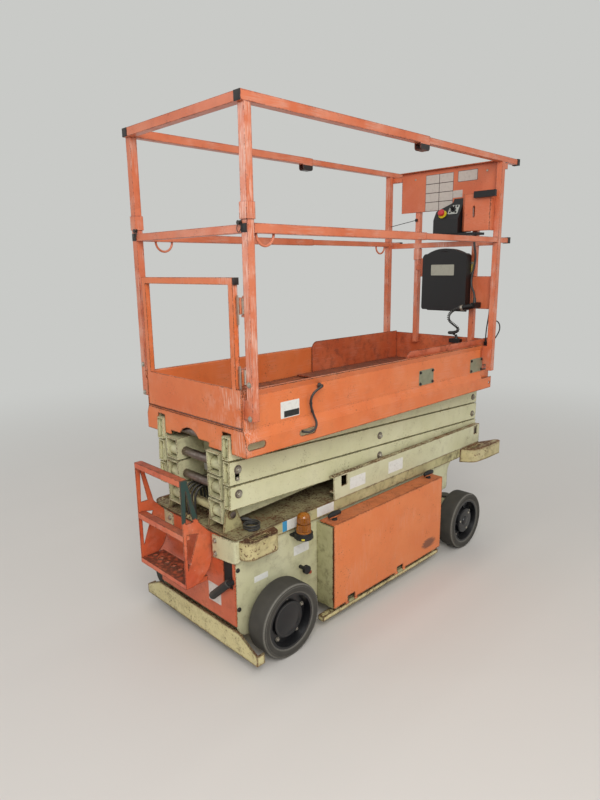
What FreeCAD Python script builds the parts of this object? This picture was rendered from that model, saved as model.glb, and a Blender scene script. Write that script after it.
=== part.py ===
"""Compact electric scissor lift, folded, with its platform rails up.

Millimetres. X runs forward to the control end, Y to the left and Z up from the floor.
Lengths along X are first given from the middle of the wheelbase (WB frame) and every
solid is moved once, at export, so that the origin is under the middle of the machine.
"""
import FreeCAD
import Part
import math
import os

V = FreeCAD.Vector

# Overall reach of the machine along X, in the WB frame
REAR_END = -1030.0
FRONT_END = 1130.0
ORIGIN_X = (REAR_END + FRONT_END) / 2

# Chassis width, and what follows from it across the machine
CH_HALF_W = 280.0
CH_PLATE = 8.0
RAIL_OVERHANG = 10.0
RAIL_W = 30.0
RAIL_OUT_Y = CH_HALF_W + RAIL_OVERHANG
RAIL_IN_Y = RAIL_OUT_Y - RAIL_W

# Wheels and steering
WHEELBASE = 1397.0
TYRE_R = 161.5
TYRE_W = 100.0
TYRE_GAP = 25.0
TYRE_INNER_Y = CH_HALF_W + TYRE_GAP
TYRE_OUTER_Y = TYRE_INNER_Y + TYRE_W
RIM_R = 121.0
RIM_WALL = 9.0
DISC_DEPTH = 38.0
DISC_T = 12.0
SPINDLE_R = 20.0
KINGPIN_Y = CH_HALF_W - 25.0
KINGPIN_R = 18.0
STEER_ARM = 110.0
AXLE_Z = (206.0, 262.0)
RUN_CLEAR = 0.05

# Scissor stack
LEVELS = 3
REAR_PIN_X = -840.0
FRONT_PIN_X = 975.0
BASE_PIN_Z = 624.0
PIN_PITCH = 102.0
PIN_OFFSET = 14.0
ARM_H = 96.0
ARM_END = 42.0
ARM_WALL = 6.0
ARM_RAIL_GAP = 6.0
OUTER_ARM_W = 42.0
ARM_GAP = 21.0
INNER_ARM_W = 84.0
OUTER_ARM_Y = (RAIL_IN_Y - ARM_RAIL_GAP - OUTER_ARM_W, RAIL_IN_Y - ARM_RAIL_GAP)
INNER_ARM_Y = (OUTER_ARM_Y[0] - ARM_GAP - INNER_ARM_W, OUTER_ARM_Y[0] - ARM_GAP)
BEAM_INSET = 95.0
SHAFT_R = 19.0
BOSS_R = 29.0
COLLAR_R = 22.5
PIN_CAP_WALL = 6.0
ROLLER_R = 30.0
SLIDE_GAP = 3.0
CHANNEL_GAP = 3.0

# Lift cylinder, on the first and second inner frames
CYL_BASE_ALONG = 1250.0
CYL_BASE_OFF = -20.0
CYL_EYE_ALONG = 550.0
CYL_EYE_OFF = 20.0
BARREL_R = 42.0
ROD_R = 24.0
CYL_PIN_R = 20.0
CYL_EYE_R = 36.0
CYL_EYE_HALF_W = 30.0
STROKE_GUARD = 20.0

# Chassis along X and in height
CH_REAR = REAR_PIN_X - 50.0
CH_FLOOR_Z = 110.0
DECK_Z = 552.0
DECK_T = 7.0
BOX_FRONT = 460.0
NOSE_FRONT = 905.0
NOSE_HALF_W = 130.0
NOSE_Z = 290.0
ARCH_Z = 340.0
DECK_FRONT = FRONT_PIN_X + 30.0
RAIL_REAR = -312.0
RAIL_T = 6.0
RAIL_TOP_Z = BASE_PIN_Z + ROLLER_R + CHANNEL_GAP + RAIL_T + 1.0
RAIL_DROP_Z = 498.0

# Side trays and their covers
TRAY_X = (-420.0, 450.0)
TRAY_Z = (84.0, 480.0)
TRAY_T = 4.0
COVER_REACH = 108.0
COVER_OUT_Y = CH_HALF_W + COVER_REACH
COVER_T = 4.0
COVER_TOP_Z = TRAY_Z[1] + 12.0
COVER_GAP = 8.0
HINGE_R = 7.0
HINGE_PIN_R = 3.5

# Rear end: panel, ladder and pothole guards
PANEL_T = 6.0
LADDER_Y = (-132.0, 216.0)
LADDER_PLATE = 5.0
LADDER_TOP_Z = 796.0
STEP_Z = 332.0
STEP_DEPTH = 110.0
GUARD_HALF_W = 410.0
GUARD_Z = (52.0, 96.0, 150.0)

# Tie-down eyes
EYE_T = 10.0
EYE_WALL = 6.0
EYE_APRON_Z = 470.0
EYE_SLOT_R = 13.0

# Platform
PLAT_OVERHANG = 60.0
PLAT_HALF_W = RAIL_OUT_Y + PLAT_OVERHANG
PLAT_REAR = REAR_PIN_X - 32.0
PLAT_FRONT = FRONT_PIN_X + 25.0
SKIRT_Z = (899.0, 1008.0)
SKIRT_FOLD_Z = 965.0
WEB_INSET = 15.0
WEB_Y = PLAT_HALF_W - WEB_INSET
WEB_T = 4.0
FLOOR_Z = 1008.0
FLOOR_T = 5.0
SIDE_TOP_Z = 1160.0
SIDE_WEB_END = 890.0
SIDE_SLOTS_X = ((-863.0, -773.0), (-587.0, -493.0))
SIDE_SLOT_Z = 941.0
SIDE_SLOT_R = 13.0

# Guard rails
POST = 32.0
RAIL_STANDOFF = 37.0
RAIL_FACE_Y = PLAT_HALF_W + RAIL_STANDOFF
POST_IN_Y = RAIL_FACE_Y - POST
POST_X = PLAT_REAR + 7.0
TOP_RAIL_Z = 2176.0
MID_RAIL_Z = 1756.0
FIXED_TUBE = 34.0
FIXED_WALL = 2.5
FIXED_RAIL_REAR = PLAT_REAR - 5.0
FIXED_RAIL_FRONT = 228.0
SLIDE_TUBE = 28.0
SLIDE_TUBE_REAR = -840.0
MID_TUBE_REAR = -820.0
TOP_RAIL_FRONT = 1119.0
MID_RAIL_FRONT = 1062.0
SHOE_LENGTH = 72.0
SHOE_DROP = 30.0
LOOP_R = 42.0
LOOP_ROD_R = 5.0

# Platform hangers at the rear pin, and the notches that clear the arm ends
HANGER_T = 8.0
ARM_CLEAR = 6.0
NOTCH_TOP_Z = 980.0

# Gate
GATE_SIDE_GAP = 12.0
GATE_LATCH_GAP = 50.0
GATE_Y = (GATE_SIDE_GAP - POST_IN_Y, POST_IN_Y - GATE_LATCH_GAP)
GATE_Z = (FLOOR_Z + 10.0, 1571.0)
GATE_KICK_TOP = 1165.0
GATE_T = 22.0
GATE_BACK_X = PLAT_REAR - 12.0
GATE_AXIS = (PLAT_REAR + 21.0, 19.0 - POST_IN_Y)
GATE_STILE = 26.0
GATE_HINGE_Z = (1180.0, 1440.0)
GATE_HINGE_L = 60.0
GATE_PIN_R = 4.0

# Roll-out deck
EXT_SIDE_GAP = 5.0
EXT_HALF_W = WEB_Y - WEB_T - EXT_SIDE_GAP
EXT_FLOOR_Z = (FLOOR_Z + 6.0, FLOOR_Z + 11.0)
EXT_REAR = 60.0
EXT_TOE_REAR = 180.0
EXT_FRONT = 986.0
EXT_TOE_TOP = 1192.0
EXT_TOE_T = 4.0
EXT_POST_X = 922.0
BAR_H = 30.0
INNER_POST = 30.0
INNER_POSTS_Y = (165.0, -225.0)

# Control panel and its boxes, on the rear face of the front posts
SHEET_T = 4.0
PANEL_Z = (1922.0, 2156.0)
PANEL_LEFT_Y = 283.0
GUARD_LEFT_Y = -178.0
GUARD_BOX_Z = (1790.0, 1990.0)
GUARD_DEPTH = 78.0
CONSOLE_Y = (-174.0, -14.0)
CONSOLE_Z = (1783.0, 1976.0)
CONSOLE_DEPTH = 104.0
BASE_BAR_T = 13.0
MANUAL_Y = (-215.0, 80.0)
MANUAL_Z = (1346.0, 1672.0)
MANUAL_CROWN = 30.0
MANUAL_DEPTH = 54.0
SIDE_PLATE_Z = (1358.0, 1542.0)

# Cords
SIDE_CABLE_R = 5.0
LEAD_R = 6.0
CURLY_R = 7.0
CORNER_R = 3.5
LANYARD_R = 2.0
HOSE_R = 5.0
HOSES_Y = (-8.0, 18.0, 44.0, 70.0)
COIL_AT = (-772.0, 34.0 - CH_HALF_W)
COIL_R = 40.0
COIL_EYE_R = 20.0
COIL_H = 28.0

parts = {}


def box(x, y, z):
    """Block between the two ends given for each axis."""
    lo = [min(a) for a in (x, y, z)]
    hi = [max(a) for a in (x, y, z)]
    return Part.makeBox(hi[0] - lo[0], hi[1] - lo[1], hi[2] - lo[2], V(*lo))


def rod(p, q, r):
    """Round bar from point p to point q."""
    a, b = V(*p), V(*q)
    return Part.makeCylinder(r, (b - a).Length, a, b - a)


def fuse(shapes):
    """One solid from shapes that touch or overlap."""
    out = shapes[0]
    for s in shapes[1:]:
        out = out.fuse(s)
    return out.removeSplitter()


def mirrored(shape):
    """The same piece on the other side of the machine."""
    return shape.mirror(V(0, 0, 0), V(0, 1, 0))


def pair(shape):
    """A piece and its mirror image, as two solids that stay apart."""
    return Part.makeCompound([shape, mirrored(shape)])


def outline(place, corners):
    """Closed face from 2-D corners; a corner given as (via, end) is an arc through via."""
    edges = []
    start = corners[0]
    here = start
    for move in corners[1:] + [start]:
        if isinstance(move[0], tuple):
            via, end = move
            edges.append(Part.Arc(place(here), place(via), place(end)).toShape())
            here = end
        elif move != here:
            edges.append(Part.LineSegment(place(here), place(move)).toShape())
            here = move
    return Part.Face(Part.Wire(edges))


def plate_xz(corners, y):
    """Plate of an X-Z outline between the two Y values."""
    return outline(lambda p: V(p[0], min(y), p[1]), corners).extrude(V(0, max(y) - min(y), 0))


def plate_yz(corners, x):
    """Plate of a Y-Z outline between the two X values."""
    return outline(lambda p: V(min(x), p[0], p[1]), corners).extrude(V(max(x) - min(x), 0, 0))


def plate_xy(corners, z):
    """Plate of an X-Y outline between the two Z values."""
    return outline(lambda p: V(p[0], p[1], min(z)), corners).extrude(V(0, 0, max(z) - min(z)))


def hollow(x, y, z, wall, along):
    """Rectangular tube with open ends, running along axis 0, 1 or 2."""
    outer = [list(x), list(y), list(z)]
    inner = []
    for axis, ends in enumerate(outer):
        grow = -wall if axis != along else 1.0
        inner.append((min(ends) - grow, max(ends) + grow))
    return box(*outer).cut(box(*inner))


def turned(shape, centre, degrees):
    """Shape turned about the Y axis so that its +X end rises."""
    out = shape.copy()
    out.rotate(V(*centre), V(0, -1, 0), degrees)
    return out


def cord(name, route, r):
    """Round cord along a route of points: straight runs joined by tangent arcs."""
    pts = [V(*p) for p in route]
    edges = []
    here = pts[0]
    radii = []
    for a, b, c in zip(pts, pts[1:], pts[2:]):
        back, on = a - b, c - b
        short = min(back.Length, on.Length)
        half = (math.pi - back.getAngle(on)) / 2
        reach = 0.45 * short
        radius = reach / math.tan(half)
        radii.append(radius)
        p = b + back.normalize() * reach
        q = b + on.normalize() * reach
        mid_way = (back + on).normalize()
        crown = b + mid_way * (radius / math.cos(half) - radius)
        edges.append(Part.LineSegment(here, p).toShape())
        edges.append(Part.Arc(p, crown, q).toShape())
        here = q
    edges.append(Part.LineSegment(here, pts[-1]).toShape())
    spine = Part.Wire(edges)
    ring = Part.Wire([Part.Circle(pts[0], pts[1] - pts[0], r).toShape()])
    tube = spine.makePipeShell([ring], True, True)
    length = spine.Length
    print("%s: length %.0f, tightest radii %s, volume ratio %.4f" % (
        name, length, ["%.0f" % v for v in sorted(radii)[:4]],
        tube.Volume / (math.pi * r * r * length)))
    return tube


def add(node, shape):
    """Keep a sub-part for export."""
    parts[node] = shape


# Scissor geometry, from the pins
SPAN = FRONT_PIN_X - REAR_PIN_X
PIN_TO_PIN = math.hypot(SPAN, PIN_PITCH)
PIN_ANGLE = math.degrees(math.atan2(PIN_PITCH, SPAN))
TUBE_ANGLE = PIN_ANGLE - math.degrees(math.atan2(2 * PIN_OFFSET, PIN_TO_PIN))
CENTRE_X = (REAR_PIN_X + FRONT_PIN_X) / 2
FRONT_WHEEL_X = WHEELBASE / 2


def pin_z(step):
    """Height of a rear or front pin, counted up from the lowest."""
    return BASE_PIN_Z + PIN_PITCH * step


def arm_tube(level, y, rises_forward):
    """One rectangular arm tube of a level, with its three pin bosses, before the pin holes."""
    zc = pin_z(level) + PIN_PITCH / 2
    half = PIN_TO_PIN / 2 + ARM_END
    tube = hollow((CENTRE_X - half, CENTRE_X + half), y, (zc - ARM_H / 2, zc + ARM_H / 2),
                  ARM_WALL, 0)
    sign = 1 if rises_forward else -1
    tube = turned(tube, (CENTRE_X, 0, zc), sign * TUBE_ANGLE)
    rear_z, front_z = pin_z(level), pin_z(level + 1)
    if not rises_forward:
        rear_z, front_z = front_z, rear_z
    pins = ((REAR_PIN_X, rear_z), (CENTRE_X, zc), (FRONT_PIN_X, front_z))
    bosses = [rod((px, min(y), pz), (px, max(y), pz), BOSS_R) for px, pz in pins]
    return fuse([tube] + bosses), pins


def drill(shape, px, pz, r, reach=400.0):
    """Hole along Y, right across the machine."""
    return shape.cut(rod((px, -reach, pz), (px, reach, pz), r))


def inner_point(level, along, off):
    """A point on an inner frame, from its rear pin and its pin line."""
    a = math.radians(PIN_ANGLE)
    x = REAR_PIN_X + along * math.cos(a) - off * math.sin(a)
    z = pin_z(level) + along * math.sin(a) + off * math.cos(a)
    return x, z


def inner_frame(level):
    """Two inner arms joined by a cross beam near each end."""
    arm, pins = arm_tube(level, INNER_ARM_Y, True)
    zc = pins[1][1]
    beams = []
    for px in (CENTRE_X - PIN_TO_PIN / 2 + BEAM_INSET, CENTRE_X + PIN_TO_PIN / 2 - 150.0):
        beam = hollow((px, px + 70.0), (-INNER_ARM_Y[0], INNER_ARM_Y[0]),
                      (zc - 36.0, zc + 36.0), ARM_WALL, 1)
        beams.append(turned(beam, (CENTRE_X, 0, zc), TUBE_ANGLE))
    frame = fuse([arm, mirrored(arm)] + beams)
    if level == 0:
        bx, bz = inner_point(level, CYL_BASE_ALONG, CYL_BASE_OFF)
        frame = frame.fuse(rod((bx, -INNER_ARM_Y[0], bz), (bx, INNER_ARM_Y[0], bz), CYL_PIN_R))
    if level == 1:
        bx, bz = inner_point(level, CYL_EYE_ALONG, CYL_EYE_OFF)
        stub = rod((bx, CYL_EYE_HALF_W + 6.0, bz), (bx, INNER_ARM_Y[0], bz), CYL_PIN_R + 6.0)
        frame = frame.fuse(stub).fuse(mirrored(stub))
    for step, (px, pz) in enumerate(pins):
        own_shaft = level == LEVELS - 1 and step == 2
        frame = drill(frame, px, pz, SHAFT_R + (0 if own_shaft else RUN_CLEAR))
    return frame


def outer_arms(level):
    """The two outer arms of a level, which its shafts hold together.

    The outer wall stays closed over a pin, except where its shaft goes on to a roller or hanger.
    """
    arm, pins = arm_tube(level, OUTER_ARM_Y, False)
    last = LEVELS - 1
    for step, (px, pz) in enumerate(pins):
        through = (step == 0 and level == last) or (step == 2 and level == 0)
        reach = OUTER_ARM_Y[1] + 1.0 if through else OUTER_ARM_Y[1] - PIN_CAP_WALL
        arm = drill(arm, px, pz, SHAFT_R, reach)
    return pair(arm)


def collar_shaft(px, pz, half):
    """Round shaft across the machine with a spacing collar inside each outer arm."""
    shaft = rod((px, -half, pz), (px, half, pz), SHAFT_R)
    inside = (INNER_ARM_Y[1] + 1.0, OUTER_ARM_Y[0])
    collar = rod((px, inside[0], pz), (px, inside[1], pz), COLLAR_R)
    return fuse([shaft, collar, mirrored(collar)])


def level_pins(level):
    """Shafts and stub pins carried by a level's outer arms."""
    zc = pin_z(level) + PIN_PITCH / 2
    head = OUTER_ARM_Y[1] - PIN_CAP_WALL
    stub = rod((CENTRE_X, INNER_ARM_Y[0], zc), (CENTRE_X, head, zc), SHAFT_R)
    collar = rod((CENTRE_X, INNER_ARM_Y[1] + 1.0, zc), (CENTRE_X, OUTER_ARM_Y[0], zc), COLLAR_R)
    stub = fuse([stub, collar])
    rear_half = head
    if level == LEVELS - 1:
        rear_half = RAIL_IN_Y + HANGER_T
    front_half = head
    if level == 0:
        front_half = RAIL_OUT_Y - RAIL_T - SLIDE_GAP
    rear = collar_shaft(REAR_PIN_X, pin_z(level + 1), rear_half)
    front = collar_shaft(FRONT_PIN_X, pin_z(level), front_half)
    return Part.makeCompound([stub, mirrored(stub), rear, front])


def rollers(px, pz, y_out):
    """The pair of rollers that a shaft carries in its channels."""
    roller = rod((px, RAIL_IN_Y + 2.0, pz), (px, y_out, pz), ROLLER_R)
    roller = drill(roller, px, pz, SHAFT_R)
    return [roller, mirrored(roller)]


def build_stack():
    """Three levels of crossed arms with their pins and rollers."""
    roller_out = RAIL_OUT_Y - RAIL_T - SLIDE_GAP
    for level in range(LEVELS):
        n = level + 1
        add("inner_arms_%d" % n, inner_frame(level))
        add("outer_arms_%d" % n, outer_arms(level))
        add("arm_pins_%d" % n, level_pins(level))
    add("base_rollers", Part.makeCompound(rollers(FRONT_PIN_X, pin_z(0), roller_out)))
    top_z = pin_z(LEVELS)
    top = rod((FRONT_PIN_X, -roller_out, top_z), (FRONT_PIN_X, roller_out, top_z), SHAFT_R)
    add("top_rollers", Part.makeCompound([top] + rollers(FRONT_PIN_X, top_z, roller_out)))


def build_cylinder():
    """Lift cylinder: barrel eye on the first inner frame, rod eye at the second."""
    ax, az = inner_point(0, CYL_BASE_ALONG, CYL_BASE_OFF)
    bx, bz = inner_point(1, CYL_EYE_ALONG, CYL_EYE_OFF)
    length = math.hypot(bx - ax, bz - az)
    ux, uz = (bx - ax) / length, (bz - az) / length

    def at(distance):
        return (ax + ux * distance, 0.0, az + uz * distance)

    eye = rod((ax, -CYL_EYE_HALF_W, az), (ax, CYL_EYE_HALF_W, az), CYL_EYE_R)
    barrel_end = length - CYL_EYE_R - STROKE_GUARD
    barrel = rod(at(CYL_EYE_R - 6.0), at(barrel_end), BARREL_R)
    gland = rod(at(barrel_end - 34.0), at(barrel_end), BARREL_R + 5.0)
    barrel = fuse([eye, barrel, gland])
    barrel = barrel.cut(rod(at(CYL_EYE_R + 14.0), at(barrel_end + 1.0), ROD_R + RUN_CLEAR))
    barrel = drill(barrel, ax, az, CYL_PIN_R + RUN_CLEAR)
    add("cylinder_barrel", barrel)
    rod_eye = rod((bx, -CYL_EYE_HALF_W, bz), (bx, CYL_EYE_HALF_W, bz), CYL_EYE_R)
    shank = rod(at(CYL_EYE_R + 16.0), at(length - CYL_EYE_R + 6.0), ROD_R)
    add("cylinder_rod", fuse([shank, rod_eye]))


def build_wheels():
    """Four solid tyres on dished hubs; the front pair carries the drive motors."""
    inner_y = TYRE_INNER_Y
    for end, wx in (("rear", -FRONT_WHEEL_X), ("front", FRONT_WHEEL_X)):
        for side, s in (("left", 1), ("right", -1)):
            def lathe(profile):
                face = outline(lambda p: V(wx, s * p[0], TYRE_R + p[1]), profile)
                return face.revolve(V(wx, 0, TYRE_R), V(0, 1, 0), 360)

            tyre = lathe([(inner_y, RIM_R), (inner_y, TYRE_R), (TYRE_OUTER_Y, TYRE_R), (TYRE_OUTER_Y, RIM_R)])
            add("tyre_%s_%s" % (end, side), tyre)
            disc_out = TYRE_OUTER_Y - DISC_DEPTH
            r_in = RIM_R - RIM_WALL
            bore = SPINDLE_R + RUN_CLEAR
            boss_r, boss_out = (58.0, 14.0) if end == "rear" else (74.0, 26.0)
            hub = lathe([(inner_y + 5, RIM_R), (TYRE_OUTER_Y - 5, RIM_R), (TYRE_OUTER_Y - 5, r_in),
                         (disc_out, r_in - 8), (disc_out, boss_r), (disc_out + boss_out, boss_r - 5),
                         (disc_out + boss_out, bore), (disc_out - DISC_T - 10, bore),
                         (disc_out - DISC_T - 10, boss_r), (disc_out - DISC_T, boss_r),
                         (disc_out - DISC_T, r_in), (inner_y + 5, r_in)])
            add("hub_%s_%s" % (end, side), hub)


def build_steering():
    """Front axle beam, the two knuckles on their kingpins, the track rod and rear spindles."""
    fx = FRONT_WHEEL_X
    low, high = AXLE_Z
    beam = box((fx - 38, fx + 38), (-KINGPIN_Y + 20, KINGPIN_Y - 20), AXLE_Z)
    boss = rod((fx, KINGPIN_Y, low - 10), (fx, KINGPIN_Y, high + 10), KINGPIN_R + 14)
    web = box((fx - 20, fx + 20), (KINGPIN_Y - 30, KINGPIN_Y - 5), AXLE_Z)
    axle = fuse([beam, boss, mirrored(boss), web, mirrored(web)])
    for s in (1, -1):
        axle = axle.cut(rod((fx, s * KINGPIN_Y, low - 16), (fx, s * KINGPIN_Y, high + 18),
                            KINGPIN_R + RUN_CLEAR))
    disc_in = TYRE_OUTER_Y - DISC_DEPTH
    spindle = rod((-fx, CH_HALF_W, TYRE_R), (-fx, disc_in + 20, TYRE_R), SPINDLE_R)
    flange = rod((-fx, CH_HALF_W, TYRE_R), (-fx, CH_HALF_W + 14, TYRE_R), 60)
    spindle = fuse([spindle, flange])
    add("axles", Part.makeCompound([axle, spindle, mirrored(spindle)]))
    tip = fx + STEER_ARM
    for side, s in (("left", 1), ("right", -1)):
        block = box((fx - 34, fx + 34), (s * (KINGPIN_Y - 32), s * (KINGPIN_Y + 34)), (112, low - 16))
        pin = rod((fx, s * KINGPIN_Y, low - 26), (fx, s * KINGPIN_Y, high + 22), KINGPIN_R)
        cap = rod((fx, s * KINGPIN_Y, high + 14), (fx, s * KINGPIN_Y, high + 24), KINGPIN_R + 12)
        spindle = rod((fx, s * (KINGPIN_Y + 20), TYRE_R), (fx, s * (disc_in + 20), TYRE_R), SPINDLE_R)
        arm = box((fx + 20, tip), (s * (KINGPIN_Y - 16), s * (KINGPIN_Y + 16)), (112, 124))
        arm_end = rod((tip, s * KINGPIN_Y, 112), (tip, s * KINGPIN_Y, 124), 16)
        stud = rod((tip, s * KINGPIN_Y, 112), (tip, s * KINGPIN_Y, 152), 8)
        add("knuckle_%s" % side, fuse([block, pin, cap, spindle, arm, arm_end, stud]))
    link = rod((tip, -KINGPIN_Y, 138), (tip, KINGPIN_Y, 138), 10)
    for s in (1, -1):
        link = link.fuse(rod((tip, s * KINGPIN_Y, 126), (tip, s * KINGPIN_Y, 150), 17))
    for s in (1, -1):
        link = link.cut(rod((tip, s * KINGPIN_Y, 120), (tip, s * KINGPIN_Y, 156), 8 + RUN_CLEAR))
    add("track_rod", link.removeSplitter())


def build_chassis():
    """Welded chassis: box body, narrow nose between the steered wheels, and the deck."""
    t = CH_PLATE
    under_deck = DECK_Z - DECK_T
    step = BOX_FRONT + 215
    side = plate_xz([(CH_REAR, 170.0), ((CH_REAR + 17.9, 126.9), (CH_REAR + 50, CH_FLOOR_Z)),
                     (BOX_FRONT, CH_FLOOR_Z), (BOX_FRONT, ARCH_Z), (step - 18, ARCH_Z),
                     ((step - 5, ARCH_Z + 5), (step, ARCH_Z + 18)), (step, RAIL_DROP_Z - 80),
                     ((step + 24, RAIL_DROP_Z - 14), (step + 92, RAIL_DROP_Z + 12)),
                     (step + 92, under_deck), (CH_REAR, under_deck)],
                    (CH_HALF_W - t, CH_HALF_W))
    inner = CH_HALF_W - t
    floor = box((CH_REAR + 40, BOX_FRONT), (-inner, inner), (CH_FLOOR_Z, CH_FLOOR_Z + t))
    front_wall = box((BOX_FRONT - t, BOX_FRONT), (-inner, inner), (CH_FLOOR_Z + t, under_deck))
    rear_wall = box((CH_REAR + 30, CH_REAR + 30 + t), (-inner, inner), (200, under_deck))
    nose_side = plate_xz([(BOX_FRONT, NOSE_Z), (NOSE_FRONT - 60, NOSE_Z),
                          ((NOSE_FRONT - 18, NOSE_Z + 18), (NOSE_FRONT, NOSE_Z + 60)),
                          (NOSE_FRONT, under_deck), (BOX_FRONT, under_deck)],
                         (NOSE_HALF_W - t, NOSE_HALF_W))
    nose_floor = box((BOX_FRONT, NOSE_FRONT - 60), (-NOSE_HALF_W + t, NOSE_HALF_W - t), (NOSE_Z, NOSE_Z + t))
    nose_front = box((NOSE_FRONT - t, NOSE_FRONT), (-NOSE_HALF_W + t, NOSE_HALF_W - t),
                     (NOSE_Z + 60, under_deck))
    fx = FRONT_WHEEL_X
    saddle = box((fx - 38, fx + 38), (-NOSE_HALF_W + 20, NOSE_HALF_W - 20), (AXLE_Z[1], NOSE_Z))
    add("chassis_frame", fuse([side, mirrored(side), floor, front_wall, rear_wall, nose_side,
                               mirrored(nose_side), nose_floor, nose_front, saddle]))
    deck = box((CH_REAR, DECK_FRONT), (-RAIL_OUT_Y, RAIL_OUT_Y), (under_deck, DECK_Z))
    flange = plate_xz([(CH_REAR, RAIL_DROP_Z), (step + 92, RAIL_DROP_Z), (DECK_FRONT, RAIL_DROP_Z + 22),
                       (DECK_FRONT, under_deck), (CH_REAR, under_deck)], (RAIL_OUT_Y - RAIL_T, RAIL_OUT_Y))
    ferrules = []
    for hy in HOSES_Y:
        for hx in (REAR_PIN_X - 42, REAR_PIN_X + 46):
            ferrules.append(rod((hx, hy, DECK_Z), (hx, hy, DECK_Z + 14), HOSE_R + 4))
    add("chassis_deck", fuse([deck, flange, mirrored(flange)] + ferrules))
    build_slide_rails()
    lugs = []
    low, eye = REAR_PIN_X, BASE_PIN_Z
    for y0 in (INNER_ARM_Y[0] - 13, INNER_ARM_Y[1] + 5):
        lug = plate_xz([(low - 44, DECK_Z), (low + 60, DECK_Z), (low + 31, eye + 4),
                        ((low, eye + 31), (low - 31, eye + 4))], (y0, y0 + CH_PLATE))
        lugs += [lug, mirrored(lug)]
    half = INNER_ARM_Y[1] + 5 + CH_PLATE + 6
    shaft = rod((REAR_PIN_X, -half, BASE_PIN_Z), (REAR_PIN_X, half, BASE_PIN_Z), SHAFT_R)
    add("base_pivot", fuse([shaft] + lugs))


def build_slide_rails():
    """The two channels on the deck that the lowest rollers run in."""
    top = box((RAIL_REAR, DECK_FRONT), (RAIL_IN_Y, RAIL_OUT_Y), (RAIL_TOP_Z - RAIL_T, RAIL_TOP_Z))
    ledge_z = BASE_PIN_Z - ROLLER_R - CHANNEL_GAP
    ledge = box((RAIL_REAR, DECK_FRONT), (RAIL_IN_Y, RAIL_OUT_Y - RAIL_T), (ledge_z - RAIL_T, ledge_z))
    face = box((RAIL_REAR, DECK_FRONT), (RAIL_OUT_Y - RAIL_T, RAIL_OUT_Y), (DECK_Z, RAIL_TOP_Z - RAIL_T))
    for sx in (RAIL_REAR + 50, DECK_FRONT - 62):
        face = face.cut(box((sx, sx + 40), (RAIL_OUT_Y - RAIL_T - 1, RAIL_OUT_Y + 1),
                            (BASE_PIN_Z - 16, RAIL_TOP_Z - RAIL_T)))
    add("slide_rails", pair(fuse([top, ledge, face])))


def build_trays():
    """Battery tray on the left and power unit tray on the right, with drop-down covers."""
    x0, x1 = TRAY_X
    z0, z1 = TRAY_Z
    y0, y1 = CH_HALF_W, COVER_OUT_Y - COVER_T - COVER_GAP
    hinge_y, hinge_z = COVER_OUT_Y - COVER_T, z0 - 4
    floor = box((x0, x1), (y0, y1), (z0, z0 + TRAY_T))
    rear = box((x0, x0 + TRAY_T), (y0, y1), (z0 + TRAY_T, z1))
    front = box((x1 - TRAY_T, x1), (y0, y1), (z0 + TRAY_T, z1))
    flanges = [box(x, (y0, y1), (z1 - TRAY_T, z1)) for x in ((x0 + TRAY_T, x0 + 24), (x1 - 24, x1 - TRAY_T))]
    tray = fuse([floor, rear, front] + flanges)
    plate = box((x0 + 1, x1 - 1), (COVER_OUT_Y - COVER_T, COVER_OUT_Y), (z0 + 2, COVER_TOP_Z))
    top = box((x0 + 1, x1 - 1), (RAIL_OUT_Y + 8, COVER_OUT_Y - COVER_T), (COVER_TOP_Z - COVER_T, COVER_TOP_Z))
    cover = fuse([plate, top])
    for hx in (x0 + 120, x1 - 369):
        cover = cover.cut(box((hx - 25, hx + 25), (COVER_OUT_Y - COVER_T - 1, COVER_OUT_Y + 1), (z0, z0 + 28)))
        arm = box((hx - 20, hx + 20), (y1 - 20, hinge_y), (hinge_z - 5, z0))
        barrel = rod((hx - 20, hinge_y, hinge_z), (hx + 20, hinge_y, hinge_z), HINGE_R)
        pin = rod((hx - 44, hinge_y, hinge_z), (hx + 44, hinge_y, hinge_z), HINGE_PIN_R)
        tray = tray.fuse(arm).fuse(barrel).fuse(pin)
        for sx in (-1, 1):
            ends = (hx + sx * 21, hx + sx * 43)
            knuckle = rod((ends[0], hinge_y, hinge_z), (ends[1], hinge_y, hinge_z), HINGE_R)
            leaf = box((hx + sx * 26, ends[1]), (COVER_OUT_Y - COVER_T, COVER_OUT_Y), (hinge_z + 4, z0 + 2))
            bore = rod((ends[0] - sx, hinge_y, hinge_z), (ends[1] + sx, hinge_y, hinge_z),
                       HINGE_PIN_R + RUN_CLEAR)
            cover = cover.fuse(knuckle).fuse(leaf).cut(bore)
    handles = []
    for hx in (x0 + 52, x1 - 66):
        hy = COVER_OUT_Y - 46
        stem = rod((hx, hy, COVER_TOP_Z), (hx, hy, COVER_TOP_Z + 16), 9)
        grip = plate_xy([(hx - 34, hy - 6), (hx - 8, hy - 11), (hx + 8, hy - 11), (hx + 34, hy - 6),
                         ((hx + 37, hy), (hx + 34, hy + 6)), (hx + 8, hy + 11), (hx - 8, hy + 11),
                         (hx - 34, hy + 6), ((hx - 37, hy), (hx - 34, hy - 6))],
                        (COVER_TOP_Z + 16, COVER_TOP_Z + 30))
        handles.append(fuse([stem, grip]))
    add("trays", pair(tray))
    cells = box((x0 + 24, x1 - 24), (y0 + 4, y1 - 8), (z0 + TRAY_T, z0 + 292))
    unit = box((x0 + 40, x1 - 220), (y0 + 4, y1 - 10), (z0 + TRAY_T, z0 + 250))
    add("tray_contents", Part.makeCompound([cells, mirrored(unit)]))
    left = Part.makeCompound([cover] + handles)
    add("cover_left", left)
    add("cover_right", mirrored(left))


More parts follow.
